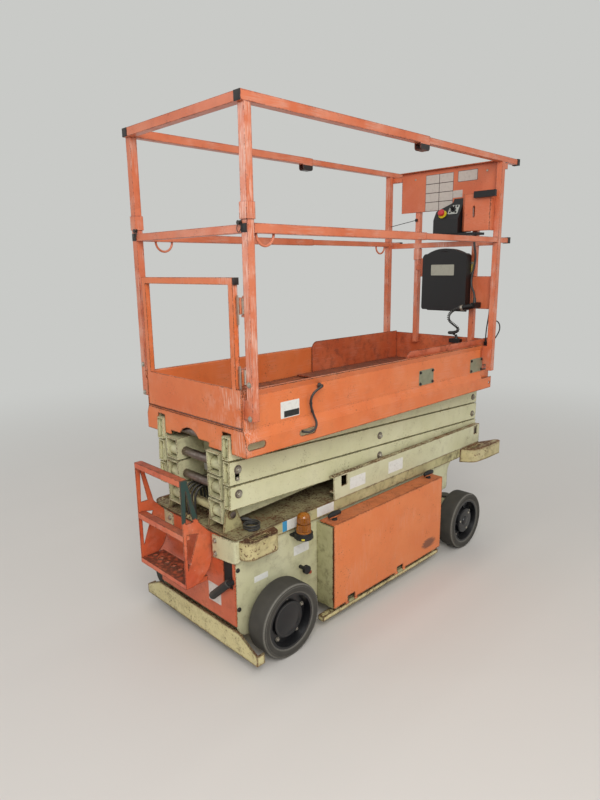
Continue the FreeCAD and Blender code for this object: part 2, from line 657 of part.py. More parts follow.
def build_rear():
    """Rear panel, access ladder and pothole guards."""
    inner = CH_HALF_W - CH_PLATE
    face = CH_REAR - PANEL_T
    panel = box((face, CH_REAR), (-inner - 6, inner + 6), (168, 540))
    window = box((face - 1, CH_REAR + 1), (-inner + 6, -inner + 66), (330, 492))
    add("rear_panel", panel.cut(window))
    back, top_z, low_z = REAR_END, LADDER_TOP_Z, STEP_Z
    edge = [(back, low_z), (back + 26, low_z), ((back + 101, low_z + 34), (face, low_z + 108)),
            (face, 540.0), (back + 78, 602.0), (back + 30, top_z), (back, top_z)]
    upper = [(back + 16, 612.0), (back + 50, 612.0), (back + 22, top_z - 40)]
    lower = [(back + 16, 566.0), (back + 72, 556.0), (back + 16, low_z + 74)]
    plates = []
    for y in (LADDER_Y[0], LADDER_Y[1] - LADDER_PLATE):
        plate = plate_xz(edge, (y, y + LADDER_PLATE))
        for tri in (upper, lower):
            plate = plate.cut(plate_xz(tri, (y - 1, y + LADDER_PLATE + 1)))
        plates.append(plate)
    between = (LADDER_Y[0] + LADDER_PLATE, LADDER_Y[1] - LADDER_PLATE)
    rungs = [box((back, back + 34), between, (z - 26, z)) for z in (top_z, 566.0)]
    tread = box((back, back + STEP_DEPTH), between, (low_z, low_z + 22))
    tread = tread.cut(box((back + 6, back + STEP_DEPTH - 6), (between[0] + 6, between[1] - 6),
                          (low_z - 1, low_z + 18)))
    count = 7
    for i in range(count):
        hy = between[0] + (i + 0.5) * (between[1] - between[0]) / count
        tread = tread.cut(rod((back + STEP_DEPTH / 2, hy, low_z), (back + STEP_DEPTH / 2, hy, low_z + 23), 12))
    add("ladder", fuse(plates + rungs + [tread]))
    half = GUARD_HALF_W
    low, waist, high = GUARD_Z
    guard = plate_yz([(-half, low), (half, low), (half, waist), (half - 110, high), (110 - half, high),
                      (-half, waist)], (CH_REAR - 10, CH_REAR - 2))
    foot = box((CH_REAR - 2, CH_REAR + 46), (-CH_HALF_W + 18, CH_HALF_W - 18), (CH_FLOOR_Z - 8, CH_FLOOR_Z))
    wings = []
    for s in (1, -1):
        wings.append(box((CH_REAR - 2, CH_REAR + 30), (s * (half - 8), s * half), (low, waist)))
    bar = box((TRAY_X[0] - 60, TRAY_X[1]), (COVER_OUT_Y - 44, COVER_OUT_Y - 12), (44, 66))
    drops = [box((dx, dx + 40), (COVER_OUT_Y - 40, COVER_OUT_Y - 16), (66, TRAY_Z[0]))
             for dx in (TRAY_X[0] + 20, TRAY_X[1] - 60)]
    side_bar = fuse([bar] + drops)
    rear_bar = fuse([guard, foot] + wings)
    add("pothole_guards", Part.makeCompound([rear_bar, side_bar, mirrored(side_bar)]))


def eye_plate(edge_line, nose, slot_x, slot_y):
    """Tie-down eye at the +Y side: a slotted top plate over a bent apron.

    edge_line holds the two ends on the chassis edge; nose is the bulged outline between them.
    """
    z_top = DECK_Z - 4
    a, b = edge_line
    rim = [a] + nose + [b]

    def inset(amount):
        """The rim moved in by the apron's wall, open at the chassis edge."""
        points = []
        xs = [p[0] if not isinstance(p[0], tuple) else p[1][0] for p in rim]
        centre = (min(xs) + max(xs)) / 2
        width = (max(xs) - min(xs)) / 2
        for p in rim:
            ends = p if isinstance(p[0], tuple) else (p,)
            moved = tuple((centre + (q[0] - centre) * (1 - amount / width), q[1] - amount) for q in ends)
            points.append(moved if isinstance(p[0], tuple) else moved[0])
        return points

    flat = plate_xy(rim, (z_top - EYE_T, z_top))
    r = EYE_SLOT_R
    slot = box((slot_x[0] + r, slot_x[1] - r), (slot_y - r, slot_y + r), (z_top - 30, z_top + 1))
    for sx in (slot_x[0] + r, slot_x[1] - r):
        slot = slot.fuse(rod((sx, slot_y, z_top - 30), (sx, slot_y, z_top + 1), r))
    apron = plate_xy(rim, (EYE_APRON_Z, z_top - EYE_T))
    inside = plate_xy(inset(EYE_WALL), (EYE_APRON_Z - 1, z_top - EYE_T))
    return fuse([flat.cut(slot), apron.cut(inside)])


def build_eyes():
    """Four tie-down eyes on the edge of the deck."""
    e = RAIL_OUT_Y
    rear_x = (CH_REAR + 8, CH_REAR + 200)
    mid = (rear_x[0] + rear_x[1]) / 2
    rear = eye_plate(((rear_x[0], e), (rear_x[1], e)),
                     [(rear_x[0] + 4, e + 22), ((rear_x[0] + 18, e + 46), (mid - 38, e + 56)),
                      (mid + 38, e + 56), ((rear_x[1] - 18, e + 46), (rear_x[1] - 4, e + 22))],
                     (mid - 44, mid + 44), e + 27)
    f = FRONT_END
    front = eye_plate(((DECK_FRONT - 215, e), (DECK_FRONT, e)),
                      [(DECK_FRONT - 192, e + 34), ((DECK_FRONT - 170, e + 62), (DECK_FRONT - 130, e + 76)),
                       (DECK_FRONT - 40, e + 84), (f - 20, e + 84), ((f - 6, e + 78), (f, e + 64)),
                       ((f - 11, e + 47), (f - 36, e + 38))],
                      (DECK_FRONT - 150, DECK_FRONT - 45), e + 30)
    add("tie_downs", Part.makeCompound([rear, mirrored(rear), front, mirrored(front)]))


def build_fittings():
    """Black fittings on the chassis: beacon base, brake release knob and the rear lever."""
    bx, by, bz = -560.0, -CH_HALF_W - 58.0, 470.0
    base = fuse([rod((bx, by, bz), (bx, by, bz + 24), 40),
                 plate_xy([(bx - 30, by), (bx + 30, by), (bx + 44, -CH_HALF_W), (bx - 30, -CH_HALF_W)],
                          (bz, bz + 8))])
    kx, kz = -529.0, 301.0
    knob = fuse([rod((kx, -CH_HALF_W, kz), (kx, -CH_HALF_W - 34, kz), 8),
                 rod((kx, -CH_HALF_W - 34, kz), (kx, -CH_HALF_W - 50, kz), 19)])
    face = CH_REAR - PANEL_T
    grip = rod((face - 16, -272.0, 376.0), (face - 40, -176.0, 286.0), 12)
    stub = rod((face, -262.0, 366.0), (face - 12, -262.0, 366.0), 15)
    add("chassis_fittings", Part.makeCompound([base, knob, fuse([grip, stub])]))
    z = bz + 24
    profile = [(0.0, z), (33.0, z), (33.0, z + 9), (30.0, z + 9), (29.0, z + 62), (26.0, z + 76),
               (18.0, z + 86), (0.0, z + 90)]
    lens = outline(lambda p: V(bx + p[0], by, p[1]), profile).revolve(V(bx, by, 0), V(0, 0, 1), 360)
    add("beacon_lens", lens)


def side_profile(x0, x1):
    """Folded side panel of the platform, at the positive Y side."""
    y = PLAT_HALF_W
    w = WEB_Y
    t = WEB_T
    z0, z1 = SKIRT_Z[0], SKIRT_FOLD_Z
    top = SIDE_TOP_Z
    rim = [(y, z0), (y, z1), (w, z1 + 38), (w, top - 27), (y, top), (w - 2, top),
           (w - t, top - 6), (w - t, z1 + 36), (y - t, z1 - 1), (y - t, z0)]
    return plate_yz(rim, (x0, x1))


def hollow_slot(x0, x1, z, r, y):
    """Round-ended slot through a side panel at the positive Y side."""
    bar = box((x0 + r, x1 - r), (y - 20, y + 5), (z - r, z + r))
    ends = [rod((ex, y - 20, z), (ex, y + 5, z), r) for ex in (x0 + r, x1 - r)]
    return fuse([bar] + ends)


def build_platform():
    """Main platform: floor on folded side panels, with its rear skirt."""
    lower = side_profile(PLAT_REAR, SIDE_WEB_END)
    skirt = box((SIDE_WEB_END, PLAT_FRONT), (PLAT_HALF_W - WEB_T, PLAT_HALF_W), (SKIRT_Z[0], SKIRT_FOLD_Z))
    skirt = skirt.cut(rod((PLAT_FRONT - 20, PLAT_HALF_W - 20, 930), (PLAT_FRONT - 20, PLAT_HALF_W + 5, 930), 7))
    under = FLOOR_Z - FLOOR_T
    floor = box((PLAT_REAR, PLAT_FRONT), (-WEB_Y + WEB_T, WEB_Y - WEB_T), (under, FLOOR_Z))
    tail = (SIDE_WEB_END - 20, PLAT_FRONT)
    bracket = box(tail, (WEB_Y - WEB_T, PLAT_HALF_W - WEB_T), (SKIRT_FOLD_Z - 13, SKIRT_FOLD_Z - 7))
    strap = box(tail, (WEB_Y - WEB_T - 6, WEB_Y - WEB_T), (SKIRT_FOLD_Z - 13, under))
    cx, cy, cz = SIDE_CABLE[0]
    grommet = rod((cx, -cy - 8, cz), (cx, -cy, cz), SIDE_CABLE_R + 6)
    for x0, x1 in SIDE_SLOTS_X:
        lower = lower.cut(hollow_slot(x0, x1, SIDE_SLOT_Z, SIDE_SLOT_R, PLAT_HALF_W))
    t = WEB_T
    out, web = PLAT_HALF_W - t, WEB_Y - t
    low = SKIRT_Z[0]
    back = plate_yz([(-out, low), (out, low), (out, SKIRT_FOLD_Z - 1), (web, SKIRT_FOLD_Z + 36),
                     (-web, SKIRT_FOLD_Z + 36), (-out, SKIRT_FOLD_Z - 1)], (PLAT_REAR, PLAT_REAR + t))
    through = (PLAT_REAR - 1, PLAT_REAR + t + 1)
    notch_y = (OUTER_ARM_Y[0] - ARM_CLEAR, OUTER_ARM_Y[1] + ARM_CLEAR)
    notch = box(through, notch_y, (low - 1, NOTCH_TOP_Z))
    arch = plate_yz([(162.0, low - 1), (162.0, 918.0), (94.0, 918.0), ((25.0, 952.0), (-44.0, 918.0)),
                     (-112.0, 918.0), (-112.0, low - 1)], through)
    back = back.cut(notch).cut(mirrored(notch)).cut(arch)
    add("platform_deck", fuse([floor, lower, mirrored(lower).fuse(mirrored(grommet)), skirt, mirrored(skirt),
                               bracket, mirrored(bracket), strap, mirrored(strap), back]))
    build_channels()
    build_rails()


def build_channels():
    """Channels for the top rollers and the hangers of the rear pin, under the platform floor."""
    top_z = pin_z(LEVELS)
    roof = FLOOR_Z - FLOOR_T
    half = ROLLER_R + CHANNEL_GAP
    ends = (RAIL_REAR, PLAT_FRONT - 8)
    face = box(ends, (RAIL_OUT_Y - RAIL_T, RAIL_OUT_Y), (top_z - half - RAIL_T, roof))
    shelf, lid = [box(ends, (RAIL_IN_Y, RAIL_OUT_Y - RAIL_T), (z, z + RAIL_T))
                  for z in (top_z - half - RAIL_T, top_z + half)]
    channel = fuse([face, shelf, lid])
    px = REAR_PIN_X
    hanger = plate_xz([(px - 27, roof), (px - 27, top_z - 12), ((px, top_z - 34), (px + 27, top_z - 12)),
                       (px + 60, roof)], (RAIL_IN_Y, RAIL_IN_Y + HANGER_T))
    hanger = drill(hanger, px, top_z, SHAFT_R + RUN_CLEAR)
    add("platform_channels", Part.makeCompound([channel, mirrored(channel), hanger, mirrored(hanger)]))


def build_rails():
    """Fixed guard rails: posts, tubes open at the front, rear crossbars and loops."""
    y0, y1 = POST_IN_Y, RAIL_FACE_Y
    px = (POST_X, POST_X + POST)
    top_z = TOP_RAIL_Z - FIXED_TUBE
    post = box(px, (y0, y1), (FLOOR_Z + 37, top_z))
    foot = box(px, (WEB_Y, y0), (FLOOR_Z + 42, SIDE_TOP_Z - 34))
    sleeve = box((px[0] - 4, px[1] + 4), (y0 - 4, y1 + 3), (MID_RAIL_Z + 12, MID_RAIL_Z + 70))
    post = fuse([post, foot, sleeve])
    hx, hy = GATE_AXIS
    right = mirrored(post)
    for hz in GATE_HINGE_Z:
        pin = rod((hx, hy, hz - 10), (hx, hy, hz + GATE_HINGE_L + 6), GATE_PIN_R)
        shelf = box((hx - 6, hx + 6), (-y0, hy + 6), (hz - 10, hz - 2))
        right = right.fuse(pin).fuse(shelf)
    add("rear_posts", Part.makeCompound([post, right]))
    ty = (RAIL_FACE_Y - FIXED_TUBE, RAIL_FACE_Y)
    under = TOP_RAIL_Z - FIXED_TUBE
    tube = hollow((FIXED_RAIL_REAR, FIXED_RAIL_FRONT), ty, (under, TOP_RAIL_Z), FIXED_WALL, 0)
    bar = box((FIXED_RAIL_REAR, FIXED_RAIL_REAR + POST), (-ty[0], ty[0]), (under, TOP_RAIL_Z))
    shoe_x = (FIXED_RAIL_FRONT - SHOE_LENGTH, FIXED_RAIL_FRONT)
    shoe = plate_xz([(shoe_x[0], under), (shoe_x[0], under - SHOE_DROP + 12),
                     ((shoe_x[0] + 4, under - SHOE_DROP + 4), (shoe_x[0] + 12, under - SHOE_DROP)),
                     (shoe_x[1] - 12, under - SHOE_DROP),
                     ((shoe_x[1] - 4, under - SHOE_DROP + 4), (shoe_x[1], under - SHOE_DROP + 12)),
                     (shoe_x[1], under)], ty)
    shoe = shoe.cut(box((shoe_x[0] - 1, shoe_x[1] + 1), (ty[0] + SHEET_T, ty[1] - SHEET_T),
                        (under - SHOE_DROP + SHEET_T, under + 1)))
    add("top_rails", fuse([tube, mirrored(tube), bar, shoe, mirrored(shoe)]))
    mid = hollow((POST_X + POST, FIXED_RAIL_FRONT), ty, (MID_RAIL_Z - FIXED_TUBE, MID_RAIL_Z), FIXED_WALL, 0)
    cross = box((POST_X + 2, POST_X + POST - 2), (-y0, y0), (MID_RAIL_Z - FIXED_TUBE, MID_RAIL_Z - 4))
    mid_y = RAIL_FACE_Y - FIXED_TUBE / 2
    loops = [d_loop(-770.0, -mid_y), d_loop(-720.0, mid_y)]
    add("mid_rails", Part.makeCompound([mid, mirrored(mid), cross] + loops))


def d_loop(x, y):
    """Half-round rod handle under a mid rail."""
    top = MID_RAIL_Z - FIXED_TUBE
    ring = Part.makeTorus(LOOP_R, LOOP_ROD_R, V(x, y, top), V(0, 1, 0))
    keep = box((x - LOOP_R - 10, x + LOOP_R + 10), (y - 20, y + 20), (top - LOOP_R - 10, top))
    return ring.common(keep)


def build_gate():
    """Entry gate, hinged at the right post and opening inwards."""
    x0 = GATE_BACK_X
    x1 = x0 + GATE_T
    y0, y1 = GATE_Y
    right = (y0 + GATE_STILE, y0 + 2 * GATE_STILE)
    left = (y1 - GATE_STILE, y1)
    z0, z1 = GATE_Z
    stiles = [box((x0, x1), s, (z0, z1)) for s in (right, left)]
    head = box((x0, x1), (right[1], left[0]), (z1 - GATE_STILE, z1))
    kick = box((x0, x0 + 6), (y0, y1), (z0, GATE_KICK_TOP))
    plate = fuse(stiles + [head, kick])
    hx, hy = GATE_AXIS
    hinges = []
    for hz in GATE_HINGE_Z:
        barrel = rod((hx, hy, hz), (hx, hy, hz + GATE_HINGE_L), GATE_PIN_R + 4)
        leaf = box((x1 - 8, hx), (hy, right[0]), (hz, hz + GATE_HINGE_L))
        hinges.append(fuse([barrel, leaf]))
    gate = fuse([plate] + hinges)
    for hz in GATE_HINGE_Z:
        gate = gate.cut(rod((hx, hy, hz - 1), (hx, hy, hz + GATE_HINGE_L + 1), GATE_PIN_R + RUN_CLEAR))
    add("gate", gate)


def build_extension():
    """Roll-out deck with its toe boards, sliding rails and front posts."""
    y = EXT_HALF_W
    t = EXT_TOE_T
    low, top = EXT_FLOOR_Z[0], EXT_TOE_TOP
    floor = box((EXT_REAR, EXT_FRONT - t), (-y + t, y - t), EXT_FLOOR_Z)
    rear = EXT_TOE_REAR
    toe = plate_xz([(rear, low), (EXT_FRONT - t, low), (EXT_FRONT - t, top), (rear + 40, top),
                    ((rear + 12, top - 12), (rear, top - 40))], (y - t, y))
    front = box((EXT_FRONT - t, EXT_FRONT), (-y, y), (low, top - 8))
    add("roll_out_deck", fuse([floor, toe, mirrored(toe), front]))
    y0, y1 = POST_IN_Y, RAIL_FACE_Y
    px = (EXT_POST_X, EXT_POST_X + POST)
    gap = (FIXED_TUBE - SLIDE_TUBE) / 2
    rail_y = (RAIL_FACE_Y - FIXED_TUBE + gap, RAIL_FACE_Y - gap)
    top_z = (TOP_RAIL_Z - FIXED_TUBE + gap, TOP_RAIL_Z - gap)
    mid_z = (MID_RAIL_Z - FIXED_TUBE + gap, MID_RAIL_Z - gap)
    bars = []
    for zz, ends in ((top_z, (SLIDE_TUBE_REAR, TOP_RAIL_FRONT)), (mid_z, (MID_TUBE_REAR, MID_RAIL_FRONT))):
        bar = box(ends, rail_y, zz)
        bars += [bar, mirrored(bar)]
    loop = d_loop(851.0, RAIL_FACE_Y - FIXED_TUBE / 2)
    loop.translate(V(0, 0, gap))
    add("sliding_rails", Part.makeCompound(bars + [loop]))
    post = box(px, (y0, y1), (low - 4, top_z[0]))
    post = post.cut(box((px[0] - 1, px[1] + 1), rail_y, mid_z))
    foot = box(px, (y, y0), (FLOOR_Z + 37, top - 42))
    fx = (px[1], EXT_FRONT - t)
    head = top_z[0] - 5
    bar_tops = (mid_z[1] - 11, head)
    cross = [box(fx, (-w, w), (z - BAR_H, z)) for z, w in zip(bar_tops, (rail_y[0], y1))]
    half = INNER_POST / 2
    inner = [box(fx, (c - half, c + half), (top - 60, head)) for c in INNER_POSTS_Y]
    collar = box((fx[0] - 4, fx[1]), (INNER_POSTS_Y[0] - half - 4, INNER_POSTS_Y[0] + half + 4),
                 (bar_tops[0] - 100, bar_tops[0] - 34))
    add("front_frame", fuse([post, mirrored(post), foot, mirrored(foot), collar] + cross + inner))
    build_controls(px[1])


def build_controls(face):
    """Control panel, the guard round the lever, the control console and the manual box."""
    t = SHEET_T
    edge = -POST_IN_Y
    sheet = (face - t, face)
    plate = box(sheet, (edge, PANEL_LEFT_Y), PANEL_Z)
    lip = box((face - 28, face - t), (edge, PANEL_LEFT_Y), (PANEL_Z[1] - t, PANEL_Z[1]))
    left_post, right_post = INNER_POSTS_Y
    backing = box(sheet, (right_post - 7, left_post - 34), (MANUAL_Z[1] - 132, MANUAL_Z[1] - 22))
    tabs = box(sheet, (left_post - 34, left_post), (MANUAL_Z[1] - 92, MANUAL_Z[1] - 62))
    side = box(sheet, (edge + 4, right_post), SIDE_PLATE_Z)
    clip = box((face, face + 12), (edge + 10, edge + 24), (SIDE_PLATE_Z[0] + 30, SIDE_PLATE_Z[0] + 44))
    add("front_panel", Part.makeCompound([fuse([plate, lip]), fuse([backing, tabs]), fuse([side, clip])]))
    gx = (face - GUARD_DEPTH, face - t)
    z0, z1 = GUARD_BOX_Z
    guard = plate_xy([(gx[1], edge), (gx[0] + 14, edge), ((gx[0] + 4, edge + 4), (gx[0], edge + 14)),
                      (gx[0], GUARD_LEFT_Y - 20), (gx[0] + 16, GUARD_LEFT_Y), (gx[1], GUARD_LEFT_Y)], (z0, z1))
    guard = guard.cut(box((gx[0] + t, gx[1] + 1), (edge + t, GUARD_LEFT_Y - 24), (z0 - 1, z1 - t)))
    guard = guard.cut(hand_slot(gx[0], -256.0))
    add("control_guard", guard)
    build_console(face, gx)
    mx = (face - MANUAL_DEPTH - t, face - t)
    m0, m1 = MANUAL_Y
    b0, b1 = MANUAL_Z
    lid = plate_yz([(m0 - 2, b0 + 16), ((m0 + 3, b0 + 4), (m0 + 16, b0)), (m1 - 16, b0),
                    ((m1 - 3, b0 + 4), (m1 + 2, b0 + 16)), (m1, b1 - 24), ((m1 - 8, b1 - 6), (m1 - 30, b1)),
                    (((m0 + m1) / 2, b1 + MANUAL_CROWN), (m0 + 30, b1)), ((m0 + 8, b1 - 6), (m0, b1 - 24))], mx)
    hinge = rod((mx[1] - 9, m0 + 14, b0 - 3), (mx[1] - 9, m1 - 14, b0 - 3), 5)
    add("manual_box", fuse([lid, hinge]))


def hand_slot(x, y):
    """Upright slot in the guard's rear sheet."""
    slot = box((x - 5, x + 10), (y - 5, y + 5), (1870, 1920))
    for z in (1870, 1920):
        slot = slot.fuse(rod((x - 5, y, z), (x + 10, y, z), 5))
    return slot


def build_console(face, gx):
    """Control console with its stop button and toggle, base bar, grab bar and cord sockets."""
    y0, y1 = CONSOLE_Y
    z0, z1 = CONSOLE_Z
    back = face - CONSOLE_DEPTH
    front = face - SHEET_T
    body = plate_xz([(back, z0), (front, z0), (front, z1), (front - 32, z1), (back, z0 + 78)], (y0, y1))
    shoulder = plate_yz([(y1 + 1, z1 - 66), (y1 - 92, z1 - 22), (y1 - 92, z1 + 1), (y1 + 1, z1 + 1)],
                        (back - 1, front + 1))
    body = body.cut(shoulder)
    bar = box((back + 8, front), (y0 - 112, y1), (z0 - BASE_BAR_T, z0))
    body = fuse([body, bar])
    slope = V(-(z1 - z0 - 78), 0, front - 32 - back).normalize()
    run = V(front - 32 - back, 0, z1 - z0 - 78).normalize()
    foot = V(back, y1 - 50, z0 + 78) + run * 34
    ring = Part.makeCylinder(23, 4, foot, slope)
    neck = Part.makeCylinder(12, 20, foot, slope)
    dome = Part.makeCone(19, 16, 9, foot + slope * 18, slope)
    switch = foot + V(0, -62, 0) + run * 26
    lever_base = Part.makeCylinder(15, 8, switch, slope)
    lever = Part.makeCylinder(7, 30, switch, slope)
    grab = box((gx[0] - 20, gx[0]), (-RAIL_FACE_Y, GUARD_LEFT_Y - 84), (GUARD_BOX_Z[1] - 26, GUARD_BOX_Z[1] + 8))
    px, py, pz = CURLY[0]
    plug = fuse([rod((px, py - 84, pz + 16), (px, py, pz), 15),
                 box((px, face - SHEET_T), (py - 88, py - 62), (pz + 2, pz + 32))])
    qx, qy, qz = CURLY[-1]
    socket = box((qx - 14, EXT_FRONT - EXT_TOE_T), (qy - 30, qy + 42), (qz - 24, qz))
    cx, cy, cz = CORNER_DROP[-1]
    joiner = box((cx - 12, cx + 26), (cy - 16, cy + 4), (EXT_TOE_TOP - 42, cz))
    lx, ly, lz = LANYARD[-1]
    tie = box((lx - 4, face), (ly - 14, ly), (lz - 8, lz + 8))
    add("control_box", Part.makeCompound([fuse([body, ring, neck, dome, lever_base, lever]), grab, plug,
                                          socket, joiner, tie]))


# Routes of the cords, point by point
SIDE_CABLE = [(-459.0, -WEB_Y - 4.0, 1121.0), (-459.0, -WEB_Y - 23.0, 1121.0), (-482.0, -WEB_Y - 27.0, 1117.0),
              (-512.0, -WEB_Y - 22.0, 1101.0), (-524.0, -WEB_Y - 16.0, 1074.0), (-521.0, -WEB_Y - 15.0, 1040.0), (-508.0, -WEB_Y - 17.0, 1004.0),
              (-501.0, -WEB_Y - 29.0, 974.0), (-510.0, -WEB_Y - 31.0, 950.0), (-536.0, -WEB_Y - 27.0, 940.0),
              (-552.0, -WEB_Y - 14.0, 940.0), (-560.0, -WEB_Y + 2.0, 942.0)]
LEAD = [(925.0, -240.0, CONSOLE_Z[0] - BASE_BAR_T), (925.0, -240.0, 1718.0), (924.0, -255.0, 1664.0),
        (922.0, -252.0, 1604.0), (917.0, -240.0, 1544.0), (909.0, -243.0, 1488.0), (898.0, -276.0, 1444.0),
        (898.0, -276.0, 1395.0)]
CURLY = [(878.0, -200.0, 1363.0), (878.0, -160.0, 1355.4), (882.0, -122.0, 1324.0), (888.0, -116.0, 1290.0),
         (896.0, -150.0, 1264.0), (902.0, -178.0, 1244.0), (908.0, -170.0, 1222.0), (916.0, -130.0, 1214.0),
         (928.0, -98.0, 1211.0), (950.0, -96.0, 1207.0), (967.0, -108.0, 1203.0), (968.0, -128.0, 1194.0),
         (968.0, -128.0, 1172.0)]
CORNER_DROP = [(960.0, -338.0, SIDE_PLATE_Z[0] + 30.0), (960.0, -338.0, 1338.0), (956.0, -333.0, 1284.0),
               (949.0, -330.0, 1228.0), (949.0, -330.0, 1172.0)]
CORNER_LOOP = [(975.0, -339.0, 1162.0), (1004.0, -339.0, 1162.0), (1028.0, -352.0, 1190.0),
               (1038.0, -371.0, 1236.0), (1018.0, -374.0, 1278.0), (987.0, -360.0, 1296.0),
               (968.0, -345.0, 1270.0), (966.0, -337.0, 1224.0), (966.0, -337.0, 1172.0)]
LANYARD = [(940.0, POST_IN_Y, 1848.0), (950.0, 179.0, 1877.0)]
HOSE_ROUTE = [(-42.0, 14.0), (-42.0, 68.0), (-39.0, 117.0), (-15.0, 142.0), (19.0, 142.0), (43.0, 117.0),
              (46.0, 68.0), (46.0, 14.0)]


def build_cords():
    """Cords, cables and hoses that show: each is a plain tube, the hank a ring on the deck."""
    add("side_cable", cord("side_cable", SIDE_CABLE, SIDE_CABLE_R))
    add("control_lead", cord("control_lead", LEAD, LEAD_R))
    add("curly_cord", cord("curly_cord", CURLY, CURLY_R))
    add("corner_drop", cord("corner_drop", CORNER_DROP, CORNER_R))
    add("corner_loop", cord("corner_loop", CORNER_LOOP, CORNER_R))
    add("lanyard", rod(LANYARD[0], LANYARD[1], LANYARD_R))
    hoses = []
    for y in HOSES_Y:
        route = [(REAR_PIN_X + dx, y, DECK_Z + dz) for dx, dz in HOSE_ROUTE]
        hoses.append(cord("hose", route, HOSE_R))
    add("stack_hoses", Part.makeCompound(hoses))
    cx, cy = COIL_AT
    coil = rod((cx, cy, DECK_Z), (cx, cy, DECK_Z + COIL_H), COIL_R)
    add("deck_cable", coil.cut(rod((cx, cy, DECK_Z - 1), (cx, cy, DECK_Z + COIL_H + 1), COIL_EYE_R)))


def main():
    build_wheels()
    build_steering()
    build_chassis()
    build_trays()
    build_rear()
    build_eyes()
    build_fittings()
    build_stack()
    build_cylinder()
    build_platform()
    build_gate()
    build_extension()
    build_cords()
    os.makedirs("parts", exist_ok=True)
    for node, shape in parts.items():
        shape = shape.copy()
        shape.translate(V(-ORIGIN_X, 0, 0))
        if shape.isNull() or not shape.isValid():
            print("invalid:", node)
        shape.exportStep("parts/%s.step" % node)
        b = shape.BoundBox
        print("%-22s solids %d  x %.1f..%.1f y %.1f..%.1f z %.1f..%.1f" % (
            node, len(shape.Solids), b.XMin, b.XMax, b.YMin, b.YMax, b.ZMin, b.ZMax))


main()
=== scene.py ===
import bmesh
import bpy
import math
from mathutils import Matrix, Vector


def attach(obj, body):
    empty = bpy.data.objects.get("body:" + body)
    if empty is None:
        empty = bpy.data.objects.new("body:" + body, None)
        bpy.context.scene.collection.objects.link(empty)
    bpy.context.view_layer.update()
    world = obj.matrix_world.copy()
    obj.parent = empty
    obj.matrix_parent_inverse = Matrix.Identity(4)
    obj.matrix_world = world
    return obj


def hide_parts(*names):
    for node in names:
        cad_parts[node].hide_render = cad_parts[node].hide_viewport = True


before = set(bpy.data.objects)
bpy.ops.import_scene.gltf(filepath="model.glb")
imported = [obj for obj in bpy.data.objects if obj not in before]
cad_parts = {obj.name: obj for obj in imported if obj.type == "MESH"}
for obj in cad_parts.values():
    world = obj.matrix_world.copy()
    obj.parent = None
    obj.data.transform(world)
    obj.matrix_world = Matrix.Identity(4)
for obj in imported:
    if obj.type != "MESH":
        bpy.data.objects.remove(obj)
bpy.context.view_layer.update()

# Camera
# Eye height, a step back from the machine's rear right corner, with a phone's wide lens.
CAMERA_AT = Vector((-2.280, -2.019, 1.601))
YAW, PITCH, ROLL = math.radians(45.41), math.radians(12.51), math.radians(-0.72)
ahead = Vector((math.cos(YAW) * math.cos(PITCH), math.sin(YAW) * math.cos(PITCH), -math.sin(PITCH)))
level_right = ahead.cross(Vector((0, 0, 1))).normalized()
level_up = level_right.cross(ahead)
right = math.cos(ROLL) * level_right + math.sin(ROLL) * level_up
upward = math.cos(ROLL) * level_up - math.sin(ROLL) * level_right
lens = bpy.data.cameras.new("camera")
lens.lens = 26.77
lens.sensor_width = 36
camera = bpy.data.objects.new("camera", lens)
bpy.context.scene.collection.objects.link(camera)
camera.matrix_world = Matrix.Translation(CAMERA_AT) @ Matrix((right, upward, -ahead)).transposed().to_4x4()
bpy.context.scene.camera = camera


# Cords, cables and hoses
# Black PVC over copper for the leads, wrapped rubber for the oil hoses, plastic-coated steel for
# the gate lanyard. Each leaves a gland, plug or ferrule and ends in another one.
def colour(hexcode):
    parts = [int(hexcode[i:i + 2], 16) / 255 for i in (1, 3, 5)]
    return tuple(c / 12.92 if c <= 0.04045 else ((c + 0.055) / 1.055) ** 2.4 for c in parts) + (1.0,)


def node(tree, kind, feeds=None, **settings):
    """One node with its settings; feeds gives each socket a value or another node's output."""
    made = tree.nodes.new(kind)
    for name, value in settings.items():
        setattr(made, name, value)
    for socket, value in (feeds or {}).items():
        if isinstance(value, bpy.types.NodeSocket):
            tree.links.new(value, made.inputs[socket])
        else:
            made.inputs[socket].default_value = value
    return made


def substance(name, **uniform):
    """A new material; uniform values go straight to the shader's sockets."""
    mat = bpy.data.materials.new(name)
    mat.use_nodes = True
    shader = mat.node_tree.nodes["Principled BSDF"]
    for socket, value in uniform.items():
        shader.inputs[socket.replace("_", " ")].default_value = value
    return mat, mat.node_tree, shader


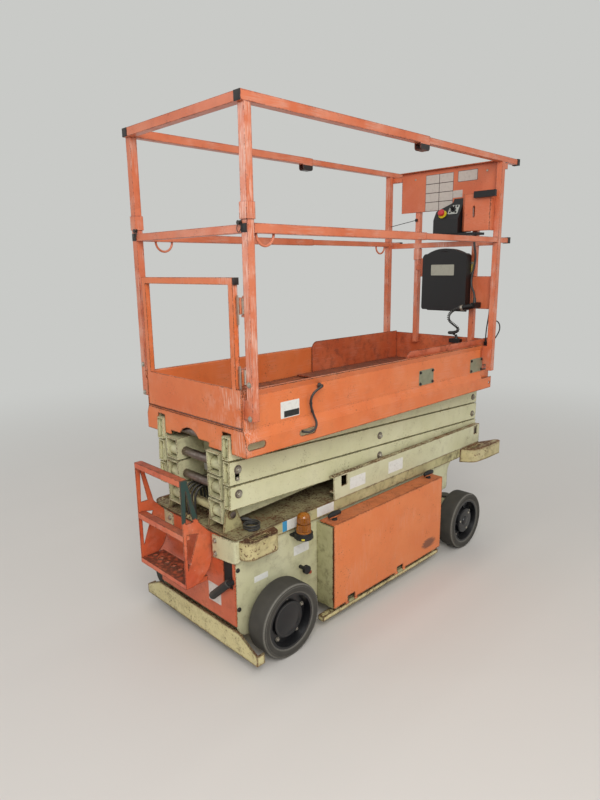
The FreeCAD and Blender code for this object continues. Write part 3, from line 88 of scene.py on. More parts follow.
def dusty_moulding(name, base, dust, rough, grain_mm, dust_share=0.45, bump=0.15, **uniform):
    """Black moulded or extruded polymer with a matt grain, and pale dust on what faces up."""
    mat, tree, shader = substance(name, **uniform)
    place = node(tree, "ShaderNodeTexCoord").outputs["Object"]
    grain = node(tree, "ShaderNodeTexNoise", {"Vector": place, "Scale": 1000 / grain_mm, "Detail": 3.0})
    # dust settles in patches a hand wide
    patch = node(tree, "ShaderNodeTexNoise", {"Vector": place, "Scale": 1 / 0.08, "Detail": 4.0})
    facing = node(tree, "ShaderNodeSeparateXYZ", {0: node(tree, "ShaderNodeNewGeometry").outputs["Normal"]})
    lying = node(tree, "ShaderNodeMapRange", {"Value": facing.outputs["Z"], "From Min": -0.2, "From Max": 1.0,
                                              "To Min": 0.25, "To Max": 1.0})
    share = node(tree, "ShaderNodeMath", {0: patch.outputs["Fac"], 1: lying.outputs[0]}, operation="MULTIPLY")
    share = node(tree, "ShaderNodeMapRange", {"Value": share.outputs[0], "From Min": 0.1, "From Max": 0.6,
                                              "To Min": 0.0, "To Max": dust_share})
    tone = node(tree, "ShaderNodeMix", {0: share.outputs[0], 6: colour(base), 7: colour(dust)}, data_type="RGBA")
    shade = node(tree, "ShaderNodeMapRange", {"Value": share.outputs[0], "From Max": 1.0, "To Min": rough,
                                              "To Max": 0.95})
    relief = node(tree, "ShaderNodeBump", {"Strength": bump, "Distance": 0.0004, "Height": grain.outputs["Fac"]})
    tree.links.new(tone.outputs[2], shader.inputs["Base Color"])
    tree.links.new(shade.outputs[0], shader.inputs["Roughness"])
    tree.links.new(relief.outputs[0], shader.inputs["Normal"])
    return mat


# extruded PVC: smooth and half matt, greyed by dust along its top
pvc_jacket = dusty_moulding("extruded_pvc_jacket", "#17181A", "#6E6A62", 0.42, 1.5, IOR=1.53)
# wrapped rubber: duller, with the print of the cure wrap as a fine grain
wrapped_rubber = dusty_moulding("wrapped_rubber_hose", "#1C1B1A", "#7A7264", 0.6, 2.5, IOR=1.52)


def metres(place):
    return [v / 1000 for v in place]


def route(name, points, smooth):
    """One smooth curve along a cord's route, whose points are in millimetres."""
    curve = bpy.data.curves.new(name, "CURVE")
    curve.dimensions = "3D"
    curve.resolution_u = smooth
    spline = curve.splines.new("NURBS")
    spline.points.add(len(points) - 1)
    for point, place in zip(spline.points, points):
        point.co = (*metres(place), 1.0)
    spline.order_u = 3
    spline.use_endpoint_u = True
    return curve


def cord_line(name, points, diameter, material, body, replaced, smooth=6):
    """A round cord on its route, riding on its body in place of its plain solid."""
    curve = route(name, points, smooth)
    curve.bevel_depth = diameter / 2
    curve.bevel_resolution = 3
    curve.use_fill_caps = True
    curve.materials.append(material)
    obj = bpy.data.objects.new(name, curve)
    bpy.context.scene.collection.objects.link(obj)
    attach(obj, body)
    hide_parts(replaced)
    return obj


SIDE_CABLE = [(-509, -339, 1121), (-509, -358, 1121), (-532, -362, 1117), (-562, -357, 1101), (-574, -351, 1074),
              (-571, -350, 1040), (-558, -352, 1004), (-551, -364, 974), (-560, -366, 950), (-586, -362, 940),
              (-602, -349, 940), (-610, -333, 942)]
LEAD = [(875, -240, 1770), (875, -240, 1718), (874, -255, 1664), (872, -252, 1604), (867, -240, 1544),
        (859, -243, 1488), (848, -276, 1444), (848, -276, 1395)]
DROP = [(910, -338, 1388), (910, -338, 1338), (906, -333, 1284), (899, -330, 1228), (899, -330, 1172)]
LOOP = [(925, -339, 1162), (954, -339, 1162), (978, -352, 1190), (988, -371, 1236), (968, -374, 1278),
        (937, -360, 1296), (918, -345, 1270), (916, -337, 1224), (916, -337, 1172)]
for name, points, diameter, length, body, lay, stiffness in (
        ("side_cable", SIDE_CABLE, 10, 0.297, "platform", "hanging", "medium"),
        ("control_lead", LEAD, 12, 0.387, "extension", "hanging", "medium"),
        ("corner_drop", DROP, 7, 0.217, "extension", "hanging", "medium"),
        ("corner_loop", LOOP, 7, 0.326, "extension", "loose", "stiff")):
    line = cord_line(name + "_line", points, diameter / 1000, pvc_jacket, body, name)

# a thin stay drawn tight across the gap beside the panel
LANYARD, LANYARD_D = [(890, 355, 1848), (894, 285, 1859), (900, 179, 1877)], 0.004
lanyard = cord_line("gate_lanyard", LANYARD, LANYARD_D, pvc_jacket, "extension", "lanyard")

# four oil hoses that rise from the deck in a row, bend over and go down again, as (x, z) points
HOSE_ARCH, HOSE_YS, HOSE_D = [(-932, 566), (-932, 620), (-929, 669), (-905, 694), (-871, 694), (-847, 669),
                              (-844, 620), (-844, 566)], (-8, 18, 44, 70), 0.010
for number, y in enumerate(HOSE_YS, start=1):
    points = [(x, y, z) for x, z in HOSE_ARCH]
    hose = cord_line("stack_hose_%d" % number, points, HOSE_D, wrapped_rubber, "chassis", "stack_hoses")

# The charging lead lies coiled on the deck: loose turns, a diameter apart, held by their own weight.
TURNS, LEAD_D, COIL_R, COIL_AT, RISE_PER_TURN = 3.6, 0.006, 32.5, (-822, -246, 555.5), 6.2
coil = []
for k in range(int(TURNS * 12) + 1):
    turn = k / 12
    a = math.radians(205 + 360 * turn)
    r = COIL_R + 2.0 * math.sin(2.3 * turn)
    coil.append((COIL_AT[0] + r * math.cos(a), COIL_AT[1] + r * math.sin(a), COIL_AT[2] + RISE_PER_TURN * turn))
charging_lead = cord_line("charging_lead_coil", coil, LEAD_D, pvc_jacket, "chassis", "deck_cable")


def keep(name, mesh_in, material, body, sharp=35):
    """Finish a piece: smooth faces with sharp corners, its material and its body."""
    mesh = bpy.data.meshes.new(name)
    bmesh.ops.recalc_face_normals(mesh_in, faces=mesh_in.faces[:])
    mesh_in.to_mesh(mesh)
    mesh_in.free()
    for face in mesh.polygons:
        face.use_smooth = True
    mesh.set_sharp_from_angle(angle=math.radians(sharp))
    mesh.materials.append(material)
    obj = bpy.data.objects.new(name, mesh)
    bpy.context.scene.collection.objects.link(obj)
    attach(obj, body)
    return obj


def turned(mesh, profile, centre, axis, steps, closed=False):
    """Turn a profile of (radius, distance along the axis) pairs about an axis through centre."""
    centre, axis = Vector(centre), Vector(axis).normalized()
    side = axis.cross(Vector((0, 0, 1)) if abs(axis.z) < 0.9 else Vector((1, 0, 0))).normalized()
    over = axis.cross(side)
    rings = []
    for radius, along in profile:
        base = centre + axis * along
        if radius == 0:
            rings.append([mesh.verts.new(base)])
            continue
        rings.append([mesh.verts.new(base + (side * math.cos(t) + over * math.sin(t)) * radius)
                      for t in (2 * math.pi * k / steps for k in range(steps))])
    pairs = list(zip(rings, rings[1:])) + ([(rings[-1], rings[0])] if closed else [])
    for low, high in pairs:
        for k in range(steps):
            n = (k + 1) % steps
            corners = [low[k % len(low)], low[n % len(low)], high[n % len(high)], high[k % len(high)]]
            corners = [c for i, c in enumerate(corners) if c not in corners[:i]]
            if len(corners) > 2:
                mesh.faces.new(corners)


plug_at = Vector(metres(coil[-1]))
plug_way = (plug_at - Vector(metres(coil[-2]))).normalized()
mesh = bmesh.new()
turned(mesh, [(0, -0.004), (0.0042, -0.004), (0.0052, 0.006), (0.0085, 0.010), (0.0095, 0.014), (0.0095, 0.036),
              (0.0080, 0.039), (0.0080, 0.044), (0, 0.044)], plug_at, plug_way, 20)
plug = keep("charging_plug", mesh, pvc_jacket, "chassis")

# The curly lead between its plug and the socket in the toe board: a helix wound on its route.
CURLY = [(828, -200, 1363), (828, -160, 1355.4), (832, -122, 1324), (838, -116, 1290), (846, -150, 1264),
         (852, -178, 1244), (858, -170, 1222), (866, -130, 1214), (878, -98, 1211), (900, -96, 1207),
         (917, -108, 1203), (918, -128, 1194), (918, -128, 1172)]
guide_object = bpy.data.objects.new("guide", route("guide", CURLY, 12))
bpy.context.scene.collection.objects.link(guide_object)
bpy.context.view_layer.update()
traced = bpy.data.meshes.new_from_object(guide_object.evaluated_get(bpy.context.evaluated_depsgraph_get()))
spine = [v.co.copy() for v in traced.vertices]
bpy.data.objects.remove(guide_object)
bpy.data.meshes.remove(traced)
walked = [0.0]
for a, b in zip(spine, spine[1:]):
    walked.append(walked[-1] + (b - a).length)
WOUND_PITCH, WINDING_R, CURLY_D, RUN_OUT = 0.0100, 0.0064, 0.0060, 0.03
steps = int(walked[-1] / WOUND_PITCH * 12)
helix, normal, at = [], Vector((1, 0, 0)), 0
for k in range(steps + 1):
    s = walked[-1] * k / steps
    while at < len(walked) - 2 and walked[at + 1] < s:
        at += 1
    share = (s - walked[at]) / max(walked[at + 1] - walked[at], 1e-9)
    here = spine[at].lerp(spine[at + 1], share)
    tangent = (spine[at + 1] - spine[at]).normalized()
    normal = (normal - tangent * normal.dot(tangent)).normalized()
    # the winding opens from nothing over the first and last 30 mm
    ends = min(1.0, min(s, walked[-1] - s) / RUN_OUT)
    turn = 2 * math.pi * s / WOUND_PITCH
    off = normal * math.cos(turn) + tangent.cross(normal) * math.sin(turn)
    helix.append([v * 1000 for v in here + off * WINDING_R * ends * ends * (3 - 2 * ends)])
curly = cord_line("curly_lead", helix, CURLY_D, pvc_jacket, "extension", "curly_cord", smooth=2)

# Glands, boots and clamps: moulded nylon and rubber where the leads leave and enter.
SOCKET_AT, SOCKET_WAY = (0.828, -0.2022, 1.3634), (0, 0.982, -0.187)
mesh = bmesh.new()
for profile, place, way, steps in (
        ([(0.006, 0.034), (0.0075, 0.03), (0.0085, 0.022), (0.0088, 0.020), (0.0095, 0.008), (0.012, 0.0),
          (0.006, 0.0)], (0.875, -0.240, 1.770), (0, 0, -1), 24),
        ([(0.0061, 0.03), (0.0078, 0.026), (0.0090, 0.014), (0.0110, 0.0)], (0.848, -0.276, 1.395),
         (0, 0, 1), 24),
        ([(0.0022, 0.026), (0.0050, 0.022), (0.0080, 0.012), (0.0105, 0.0)], (0.918, -0.128, 1.172),
         (0, 0, 1), 24),
        ([(0.0150, 0.0), (0.0160, 0.002), (0.0160, 0.007), (0.0125, 0.012), (0.0085, 0.020),
          (0.0045, 0.028), (0.0022, 0.030)], SOCKET_AT, SOCKET_WAY, 28)):
    turned(mesh, profile, place, way, steps)
keep("lead_boots", mesh, pvc_jacket, "extension")
mesh = bmesh.new()
turned(mesh, [(0.0052, 0.018), (0.0070, 0.017), (0.0085, 0.006), (0.0115, 0.0)], (-0.509, -0.339, 1.121),
       (0, -1, 0), 24)
for place, way in (((-0.572, -0.3505, 1.057), (0, -0.1, 1.0)), ((-0.5655, -0.351, 1.023), (0.35, 0, -1.0))):
    turned(mesh, [(0.0052, -0.004), (0.0062, -0.004), (0.0066, 0), (0.0062, 0.004), (0.0052, 0.004)], place, way, 20)
keep("side_cable_clamps", mesh, pvc_jacket, "platform")


# Tyres
# Solid grey rubber pressed on a steel rim, moulded smooth with round shoulders and a raised band on
# the wall. Years of dusty floors leave the tread brown grey; a pale ring round the shoulder's edge is a painted
# highlight.
solid_rubber, tree, shader = substance("pressed_solid_rubber", IOR=1.52, Specular_IOR_Level=0.35, Roughness=0.82)
place = node(tree, "ShaderNodeTexCoord").outputs["Object"]
# 60 mm patches of floor dust, 4 mm moulding grain
patch = node(tree, "ShaderNodeTexNoise", {"Vector": place, "Scale": 1 / 0.06, "Detail": 5.0})
grain = node(tree, "ShaderNodeTexNoise", {"Vector": place, "Scale": 1 / 0.004, "Detail": 2.0})
base = node(tree, "ShaderNodeMix", {0: patch.outputs["Fac"], 6: colour("#33312D"), 7: colour("#504C45")},
            data_type="RGBA")
worn = node(tree, "ShaderNodeBevel", {"Radius": 0.006}, samples=4)
true_way = node(tree, "ShaderNodeNewGeometry")
facing = node(tree, "ShaderNodeSeparateXYZ", {0: true_way.outputs["Normal"]})
wall = node(tree, "ShaderNodeMath", {0: facing.outputs["Y"]}, operation="ABSOLUTE")
# painted highlight: a pale ring on the shoulder, where the face turns from tread to wall, broken up by the grain
shoulder = node(tree, "ShaderNodeMapRange", {"Value": wall.outputs[0], "From Min": 0.25, "From Max": 0.75},
                interpolation_type="SMOOTHSTEP")
past = node(tree, "ShaderNodeMapRange", {"Value": wall.outputs[0], "From Min": 0.86, "From Max": 0.97,
                                         "To Min": 1.0, "To Max": 0.0})
shoulder_highlight = node(tree, "ShaderNodeMath", {0: shoulder.outputs[0], 1: past.outputs[0]}, operation="MULTIPLY")
shoulder_highlight = node(tree, "ShaderNodeMath", {0: shoulder_highlight.outputs[0], 1: grain.outputs["Fac"]}, operation="MULTIPLY")
tone = node(tree, "ShaderNodeMix", {0: shoulder_highlight.outputs[0], 6: base.outputs[2], 7: colour("#8E8A80")},
            data_type="RGBA")
relief = node(tree, "ShaderNodeBump", {"Strength": 0.2, "Distance": 0.0006, "Height": grain.outputs["Fac"],
                                       "Normal": worn.outputs[0]})
tree.links.new(tone.outputs[2], shader.inputs["Base Color"])
tree.links.new(relief.outputs[0], shader.inputs["Normal"])

# half of a tyre's section, in millimetres: radius, distance from the middle plane
HALF_TYRE = [(161.5, 0), (161.5, 36), (160.9, 41), (158.8, 45.5), (155.2, 48.6), (151.5, 49.4), (150.6, 48.4),
             (147.6, 48.4), (146.6, 49.6), (140, 50), (131, 49.4), (125, 47.4), (121.5, 45.2), (121, 45)]
AXLE_Z = 0.1615
WHEELS = [("rear_left", -0.7485, 0.355), ("rear_right", -0.7485, -0.355),
          ("front_left", 0.6485, 0.355), ("front_right", 0.6485, -0.355)]
for corner, x, y in WHEELS:
    mesh = bmesh.new()
    whole = [metres((r, d)) for r, d in HALF_TYRE] + [metres((r, -d)) for r, d in HALF_TYRE[:0:-1]]
    turned(mesh, whole, (x, y, AXLE_Z), (0, 1, 0), 120, closed=True)
    tyre = keep("solid_tyre_" + corner, mesh, solid_rubber, corner + "_wheel")
    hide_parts("tyre_" + corner)

# Hubs
# Pressed and welded steel dishes in black gloss enamel; five bolts hold each to its drive or bearing.
# The bolts' zinc has gone dull, and dust lies in the bottom of the dish.
hub_enamel = dusty_moulding("black_gloss_enamel_on_hub", "#0A0B0F", "#403E3A", 0.28, 3.0, dust_share=0.18,
                            bump=0.06, IOR=1.5, Coat_Weight=0.2, Coat_Roughness=0.25)


def clouded(name, tone_from, tone_to, cloud_mm, detail=4.0, rough=None, **uniform):
    """A finish gone uneven: two tones in clouds of one size, and two roughnesses with them."""
    mat, tree, shader = substance(name, **uniform)
    place = node(tree, "ShaderNodeTexCoord").outputs["Object"]
    cloud = node(tree, "ShaderNodeTexNoise", {"Vector": place, "Scale": 1000 / cloud_mm, "Detail": detail})
    tone = node(tree, "ShaderNodeMix", {0: cloud.outputs["Fac"], 6: colour(tone_from), 7: colour(tone_to)},
                data_type="RGBA")
    tree.links.new(tone.outputs[2], shader.inputs["Base Color"])
    if rough:
        shade = node(tree, "ShaderNodeMapRange", {"Value": cloud.outputs["Fac"], "To Min": rough[0],
                                                  "To Max": rough[1]})
        tree.links.new(shade.outputs[0], shader.inputs["Roughness"])
    return mat


zinc = clouded("dull_zinc_plate", "#D6D2C6", "#8C8274", 6, rough=(0.35, 0.7), Metallic=1.0)


def dress(material, *names):
    """Give CAD solids, whose shape is already right, their finish."""
    for name in names:
        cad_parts[name].data.materials.clear()
        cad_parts[name].data.materials.append(material)


def hex_bolt(mesh, at, axis, flats, washer=0.0):
    """Hexagon head with a chamfered top over a washer, standing on the face at that point."""
    r = flats / math.sqrt(3)
    base = 0.0
    if washer:
        turned(mesh, [(0, 0), (washer, 0), (washer, 0.0018), (0, 0.0018)], at, axis, 24)
        base = 0.0018
    turned(mesh, [(0, base), (r, base), (r, base + flats * 0.42), (r * 0.86, base + flats * 0.5),
                  (0, base + flats * 0.5)], at, axis, 6)


for corner, x, y in WHEELS:
    out = 1 if y > 0 else -1
    rear = corner.startswith("rear")
    # bolt circles: how many bolts, from what angle, circle radius, depth of the face, flats and washer
    circles = [(5, 18, 0.093, 0.012, 0.013, 0.010)] + ([] if rear else [(3, 50, 0.052, 0.038, 0.011, 0.009)])
    mesh = bmesh.new()
    for count, first, radius, depth, flats, washer in circles:
        for k in range(count):
            a = math.radians(360 // count * k + first)
            hex_bolt(mesh, (x + radius * math.cos(a), y + out * depth, AXLE_Z + radius * math.sin(a)),
                     (0, out, 0), flats, washer)
    keep("hub_bolts_" + corner, mesh, zinc, corner + "_wheel", sharp=20)
    mesh = bmesh.new()
    if rear:
        # a pressed cover over the bearing, with a rolled rim and a shallow dish
        turned(mesh, [(0.079, 0.0120), (0.079, 0.0250), (0.0775, 0.0275), (0.0745, 0.0285), (0.0715, 0.0278),
                      (0.0700, 0.0268), (0.0660, 0.0268), (0.0600, 0.0284), (0.0400, 0.0325), (0.0200, 0.0348),
                      (0.0, 0.0355)],
               (x, y, AXLE_Z), (0, out, 0), 96)
    else:
        # a turned cap inside eight three-cornered ribs that brace the dish
        turned(mesh, [(0.0640, 0.0375), (0.0640, 0.0402), (0.0610, 0.0410), (0.0260, 0.0410), (0.0240, 0.0450),
                      (0.0180, 0.0475), (0.0, 0.0480)], (x, y, AXLE_Z), (0, out, 0), 72)
        for k in range(8):
            a = 2 * math.pi * k / 8
            way = Vector((math.cos(a), 0, math.sin(a)))
            side = Vector((-math.sin(a), 0, math.cos(a)))
            corners = []
            for along, up in ((0.0735, 0.012), (0.104, 0.012), (0.0735, 0.034)):
                for across in (-0.0022, 0.0022):
                    corners.append(mesh.verts.new(Vector((x, y + out * up, AXLE_Z)) + way * along + side * across))
            for quad in ((0, 1, 3, 2), (0, 4, 5, 1), (2, 3, 5, 4)):
                mesh.faces.new([corners[i] for i in quad])
            mesh.faces.new([corners[i] for i in (0, 2, 4)])
            mesh.faces.new([corners[i] for i in (1, 5, 3)])
    keep("hub_cap_" + corner, mesh, hub_enamel, corner + "_wheel")
    dress(hub_enamel, "hub_" + corner)


# Axles, knuckles and track rod
# Forged steel in thin black paint, soft with road dust; the beam and the rear spindle flanges are
# welded plate in the chassis cream.
black_paint = dusty_moulding("black_paint_on_forging", "#1E1D1C", "#77705F", 0.5, 5.0, dust_share=0.6, bump=0.3,
                             IOR=1.5)
dress(black_paint, "knuckle_left", "knuckle_right", "track_rod", "cylinder_barrel")


# Chassis
# Welded 8 mm plate in cream enamel. Pallets and lashings have knocked chips into every edge, and rust
# has crept from them; faces that look up have lost most of their paint to boots.
def worn_enamel(name, paint, faded, chips=1.0, edge_mm=8, trodden=0.0, speckle=0.0, soil=0.3, soil_and_shade_hex="#7A6E50",
                scuffs=0.3, chalk=0.0, along=(9, 60, 320), rough=0.4, rust=("#301B11", "#6E4428"), chip_mm=7,
                low=0.0, flaked=0.0, over=()):
    """Sprayed enamel on steel: fades, scuffs, chalks and soils, chips to rust along its edges, and darkens in its
    corners with painted shade.

    trodden is how far the faces that look up are worn to a dull film, speckle how often they are chipped
    through, flaked how far every face is; along is the lie of the scratches; over holds other paints,
    stains and painted highlights, each with the mask that places it.
    """
    mat, tree, shader = substance(name, IOR=1.5)
    place = node(tree, "ShaderNodeTexCoord").outputs["Object"]
    shape = node(tree, "ShaderNodeNewGeometry")
    facing = node(tree, "ShaderNodeSeparateXYZ", {0: shape.outputs["Normal"]})
    # fade, in patches as wide as a hand
    patches = node(tree, "ShaderNodeTexNoise", {"Vector": place, "Scale": 1 / 0.16, "Detail": 4.0})
    patches = node(tree, "ShaderNodeMapRange", {"Value": patches.outputs["Fac"], "From Min": 0.32,
                                                "From Max": 0.68})
    tone = node(tree, "ShaderNodeMix", {0: patches.outputs[0], 6: colour(paint), 7: colour(faded)},
                data_type="RGBA").outputs[2]
    # scratches 2 mm wide and a hand long, and chalked areas where things have rubbed
    way = node(tree, "ShaderNodeMapping", {"Vector": place, "Scale": along})
    streak = node(tree, "ShaderNodeTexNoise", {"Vector": way.outputs[0], "Scale": 1.0, "Detail": 3.0})
    lines = node(tree, "ShaderNodeMapRange", {"Value": streak.outputs["Fac"], "From Min": 0.66, "From Max": 0.76,
                                              "To Max": scuffs}, interpolation_type="SMOOTHSTEP")
    where = node(tree, "ShaderNodeTexNoise", {"Vector": place, "Scale": 1 / 0.11, "Detail": 2.0})
    where = node(tree, "ShaderNodeMapRange", {"Value": where.outputs["Fac"], "From Min": 0.46, "From Max": 0.66,
                                              "To Max": chalk}, interpolation_type="SMOOTHSTEP")
    rubbed = node(tree, "ShaderNodeMapRange", {"Value": streak.outputs["Fac"], "From Min": 0.40,
                                               "From Max": 0.62})
    rubbed = node(tree, "ShaderNodeMath", {0: where.outputs[0], 1: rubbed.outputs[0]}, operation="MULTIPLY")
    rubbed = node(tree, "ShaderNodeMath", {0: rubbed.outputs[0], 1: lines.outputs[0]}, operation="MAXIMUM")
    tone = node(tree, "ShaderNodeMix", {0: rubbed.outputs[0], 6: tone, 7: colour("#E8D2C2")},
                data_type="RGBA").outputs[2]
    for hexcode, mask in over:
        tone = node(tree, "ShaderNodeMix", {0: mask(tree, place), 6: tone, 7: colour(hexcode)},
                    data_type="RGBA").outputs[2]
    # soil on faces that look up and in a film that thickens towards the floor; painted shade in corners and seams,
    # found by ambient occlusion and given the soil's colour
    film = node(tree, "ShaderNodeTexNoise", {"Vector": place, "Scale": 1 / 0.045, "Detail": 6.0,
                                             "Roughness": 0.65})
    blotch = node(tree, "ShaderNodeMapRange", {"Value": film.outputs["Fac"], "From Min": 0.45, "From Max": 0.75,
                                               "To Max": soil}, interpolation_type="SMOOTHSTEP")
    height = node(tree, "ShaderNodeSeparateXYZ", {0: place})
    near_floor = node(tree, "ShaderNodeMapRange", {"Value": height.outputs["Z"], "From Min": 0.08,
                                                   "From Max": 0.32, "To Min": low, "To Max": 0.0})
    # painted shade: corners and seams within 30 mm darken towards the soil colour
    corner = node(tree, "ShaderNodeAmbientOcclusion", {"Distance": 0.03}, samples=4)
    corner = node(tree, "ShaderNodeMapRange", {"Value": corner.outputs["AO"], "From Min": 0.75, "From Max": 0.25,
                                               "To Max": 0.75})
    corner = node(tree, "ShaderNodeMath", {0: corner.outputs[0], 1: film.outputs["Fac"]}, operation="MULTIPLY")
    level = node(tree, "ShaderNodeMapRange", {"Value": facing.outputs["Z"], "From Min": 0.6, "From Max": 0.95})
    walked = node(tree, "ShaderNodeMapRange", {"Value": film.outputs["Fac"], "From Min": 0.25, "From Max": 0.65,
                                               "To Min": trodden * 0.45, "To Max": trodden})
    walked = node(tree, "ShaderNodeMath", {0: walked.outputs[0], 1: level.outputs[0]}, operation="MULTIPLY")
    soil_and_shade = node(tree, "ShaderNodeMath", {0: blotch.outputs[0], 1: near_floor.outputs[0]}, operation="ADD")
    soil_and_shade = node(tree, "ShaderNodeMath", {0: soil_and_shade.outputs[0], 1: corner.outputs[0]}, operation="ADD")
    soil_and_shade = node(tree, "ShaderNodeMath", {0: soil_and_shade.outputs[0], 1: walked.outputs[0]}, operation="MAXIMUM",
                  use_clamp=True)
    tone = node(tree, "ShaderNodeMix", {0: soil_and_shade.outputs[0], 6: tone, 7: colour(soil_and_shade_hex)},
                data_type="RGBA").outputs[2]
    # chips: near an edge the bevelled normal leaves the face's own, and there the paint breaks first
    round_edge = node(tree, "ShaderNodeBevel", {"Radius": edge_mm / 1000}, samples=6)
    turn = node(tree, "ShaderNodeVectorMath", {0: round_edge.outputs[0], 1: shape.outputs["Normal"]},
                operation="DOT_PRODUCT")
    edge = node(tree, "ShaderNodeMapRange", {"Value": turn.outputs["Value"], "From Min": 0.995,
                                             "From Max": 0.80, "To Max": 0.21 * chips})
    upward_face = node(tree, "ShaderNodeMath", {0: level.outputs[0], 1: 0.2 * speckle}, operation="MULTIPLY")
    breaks = node(tree, "ShaderNodeTexNoise", {"Vector": place, "Scale": 1000 / chip_mm, "Detail": 5.0,
                                               "Roughness": 0.65})
    clusters = node(tree, "ShaderNodeTexNoise", {"Vector": place, "Scale": 1 / 0.09, "Detail": 2.0})
    clusters = node(tree, "ShaderNodeMapRange", {"Value": clusters.outputs["Fac"], "From Min": 0.3,
                                                 "From Max": 0.7, "To Min": flaked - 0.07,
                                                 "To Max": flaked + 0.07})
    total = node(tree, "ShaderNodeMath", {0: breaks.outputs["Fac"], 1: clusters.outputs[0]}, operation="ADD")
    total = node(tree, "ShaderNodeMath", {0: total.outputs[0], 1: edge.outputs[0]}, operation="ADD")
    total = node(tree, "ShaderNodeMath", {0: total.outputs[0], 1: upward_face.outputs[0]}, operation="ADD")
    chip = node(tree, "ShaderNodeMapRange", {"Value": total.outputs[0], "From Min": 0.70, "From Max": 0.73},
                interpolation_type="SMOOTHSTEP")
    halo = node(tree, "ShaderNodeMapRange", {"Value": total.outputs[0], "From Min": 0.60, "From Max": 0.72,
                                             "To Max": 0.38}, interpolation_type="SMOOTHSTEP")
    tone = node(tree, "ShaderNodeMix", {0: halo.outputs[0], 6: tone, 7: colour(rust[1])},
                data_type="RGBA").outputs[2]
    bare = node(tree, "ShaderNodeMix", {0: patches.outputs[0], 6: colour(rust[0]), 7: colour(rust[1])},
                data_type="RGBA")
    tone = node(tree, "ShaderNodeMix", {0: chip.outputs[0], 6: tone, 7: bare.outputs[2]}, data_type="RGBA")
    shade = node(tree, "ShaderNodeMapRange", {"Value": soil_and_shade.outputs[0], "To Min": rough, "To Max": 0.9})
    shade = node(tree, "ShaderNodeMath", {0: shade.outputs[0], 1: chip.outputs[0]}, operation="MAXIMUM")
    shade = node(tree, "ShaderNodeMath", {0: shade.outputs[0], 1: 0.88}, operation="MINIMUM")
    # orange peel of the spray, 3 mm across, and the step down into each chip
    peel = node(tree, "ShaderNodeTexNoise", {"Vector": place, "Scale": 1 / 0.003, "Detail": 1.0})
    skin = node(tree, "ShaderNodeMath", {0: chip.outputs[0], 1: -3.0, 2: peel.outputs["Fac"]},
                operation="MULTIPLY_ADD")
    soft_edge = node(tree, "ShaderNodeBevel", {"Radius": 0.002}, samples=4)
    relief = node(tree, "ShaderNodeBump", {"Strength": 0.12, "Distance": 0.0004, "Height": skin.outputs[0],
                                           "Normal": soft_edge.outputs[0]})
    tree.links.new(tone.outputs[2], shader.inputs["Base Color"])
    tree.links.new(shade.outputs[0], shader.inputs["Roughness"])
    tree.links.new(relief.outputs[0], shader.inputs["Normal"])
    return mat


chassis_cream = worn_enamel("cream_enamel_on_plate", "#C8C49C", "#D3CFAA", chips=1.1, edge_mm=10, trodden=0.3,
                            soil=0.3, low=0.3)
dress(chassis_cream, "chassis_frame", "axles")
# the deck: enamel trodden down to primer, brown with ground-in dirt in long streaks
deck_cream = worn_enamel("trodden_cream_enamel", "#C6BD8C", "#AFA576", chips=1.5, edge_mm=14, trodden=0.76,
                         speckle=0.7, soil=0.8, scuffs=0.7, rough=0.6, soil_and_shade_hex="#554830", chip_mm=10)
dress(deck_cream, "chassis_deck", "base_pivot")
# the slide rails: clean sides, and a top edge that the arms' dirt and rust have speckled brown
rail_cream = worn_enamel("cream_enamel_on_slide_rail", "#CCC8A0", "#D6D2AE", chips=1.2, edge_mm=9, trodden=0.3,
                         speckle=1.1, soil=0.2, chip_mm=7, rust=("#412818", "#80552E"))
dress(rail_cream, "slide_rails")


def skin(mesh, rings, caps=2):
    """Join rings of equally many corners, one after the other, and close 0, 1 or 2 of the ends."""
    for low, high in zip(rings, rings[1:]):
        for k in range(len(low)):
            n = (k + 1) % len(low)
            mesh.faces.new((low[k], low[n], high[n], high[k]))
    if caps > 0:
        mesh.faces.new(rings[-1])
    if caps > 1:
        mesh.faces.new(rings[0][::-1])


def rounded_plate(mesh, centre, across, up, width, height, corner, thick):
    """A flat plate with round corners, its back on the face at centre and its front thick away."""
    centre, across, up = Vector(centre), Vector(across), Vector(up)
    out = across.cross(up)
    rim = []
    for sx, sy, start in ((1, 1, 0), (-1, 1, 90), (-1, -1, 180), (1, -1, 270)):
        for k in range(5):
            a = math.radians(start + 22.5 * k)
            rim.append((sx * (width / 2 - corner) + corner * math.cos(a),
                        sy * (height / 2 - corner) + corner * math.sin(a)))
    soft = min(thick * 0.4, corner * 0.5)
    rings = []
    for inset, depth in ((0.0, 0.0), (0.0, thick - soft), (soft, thick)):
        sx, sy = 1 - 2 * inset / width, 1 - 2 * inset / height
        rings.append([mesh.verts.new(centre + across * x * sx + up * y * sy + out * depth) for x, y in rim])
    skin(mesh, rings)


# the across direction of plates that face the right side and of those that face the rear
FACING_RIGHT, FACING_REAR = (1, 0, 0), (0, -1, 0)


def plates(name, material, body, rows, across=FACING_RIGHT, up=(0, 0, 1), corner=0.003, thick=0.0004):
    """One piece of flat plates; each row has a centre, a width, a height and its corners' radius if not alike."""
    mesh = bmesh.new()
    for place, width, height, *own in rows:
        rounded_plate(mesh, place, across, up, width, height, own[0] if own else corner, thick)
    return keep(name, mesh, material, body)


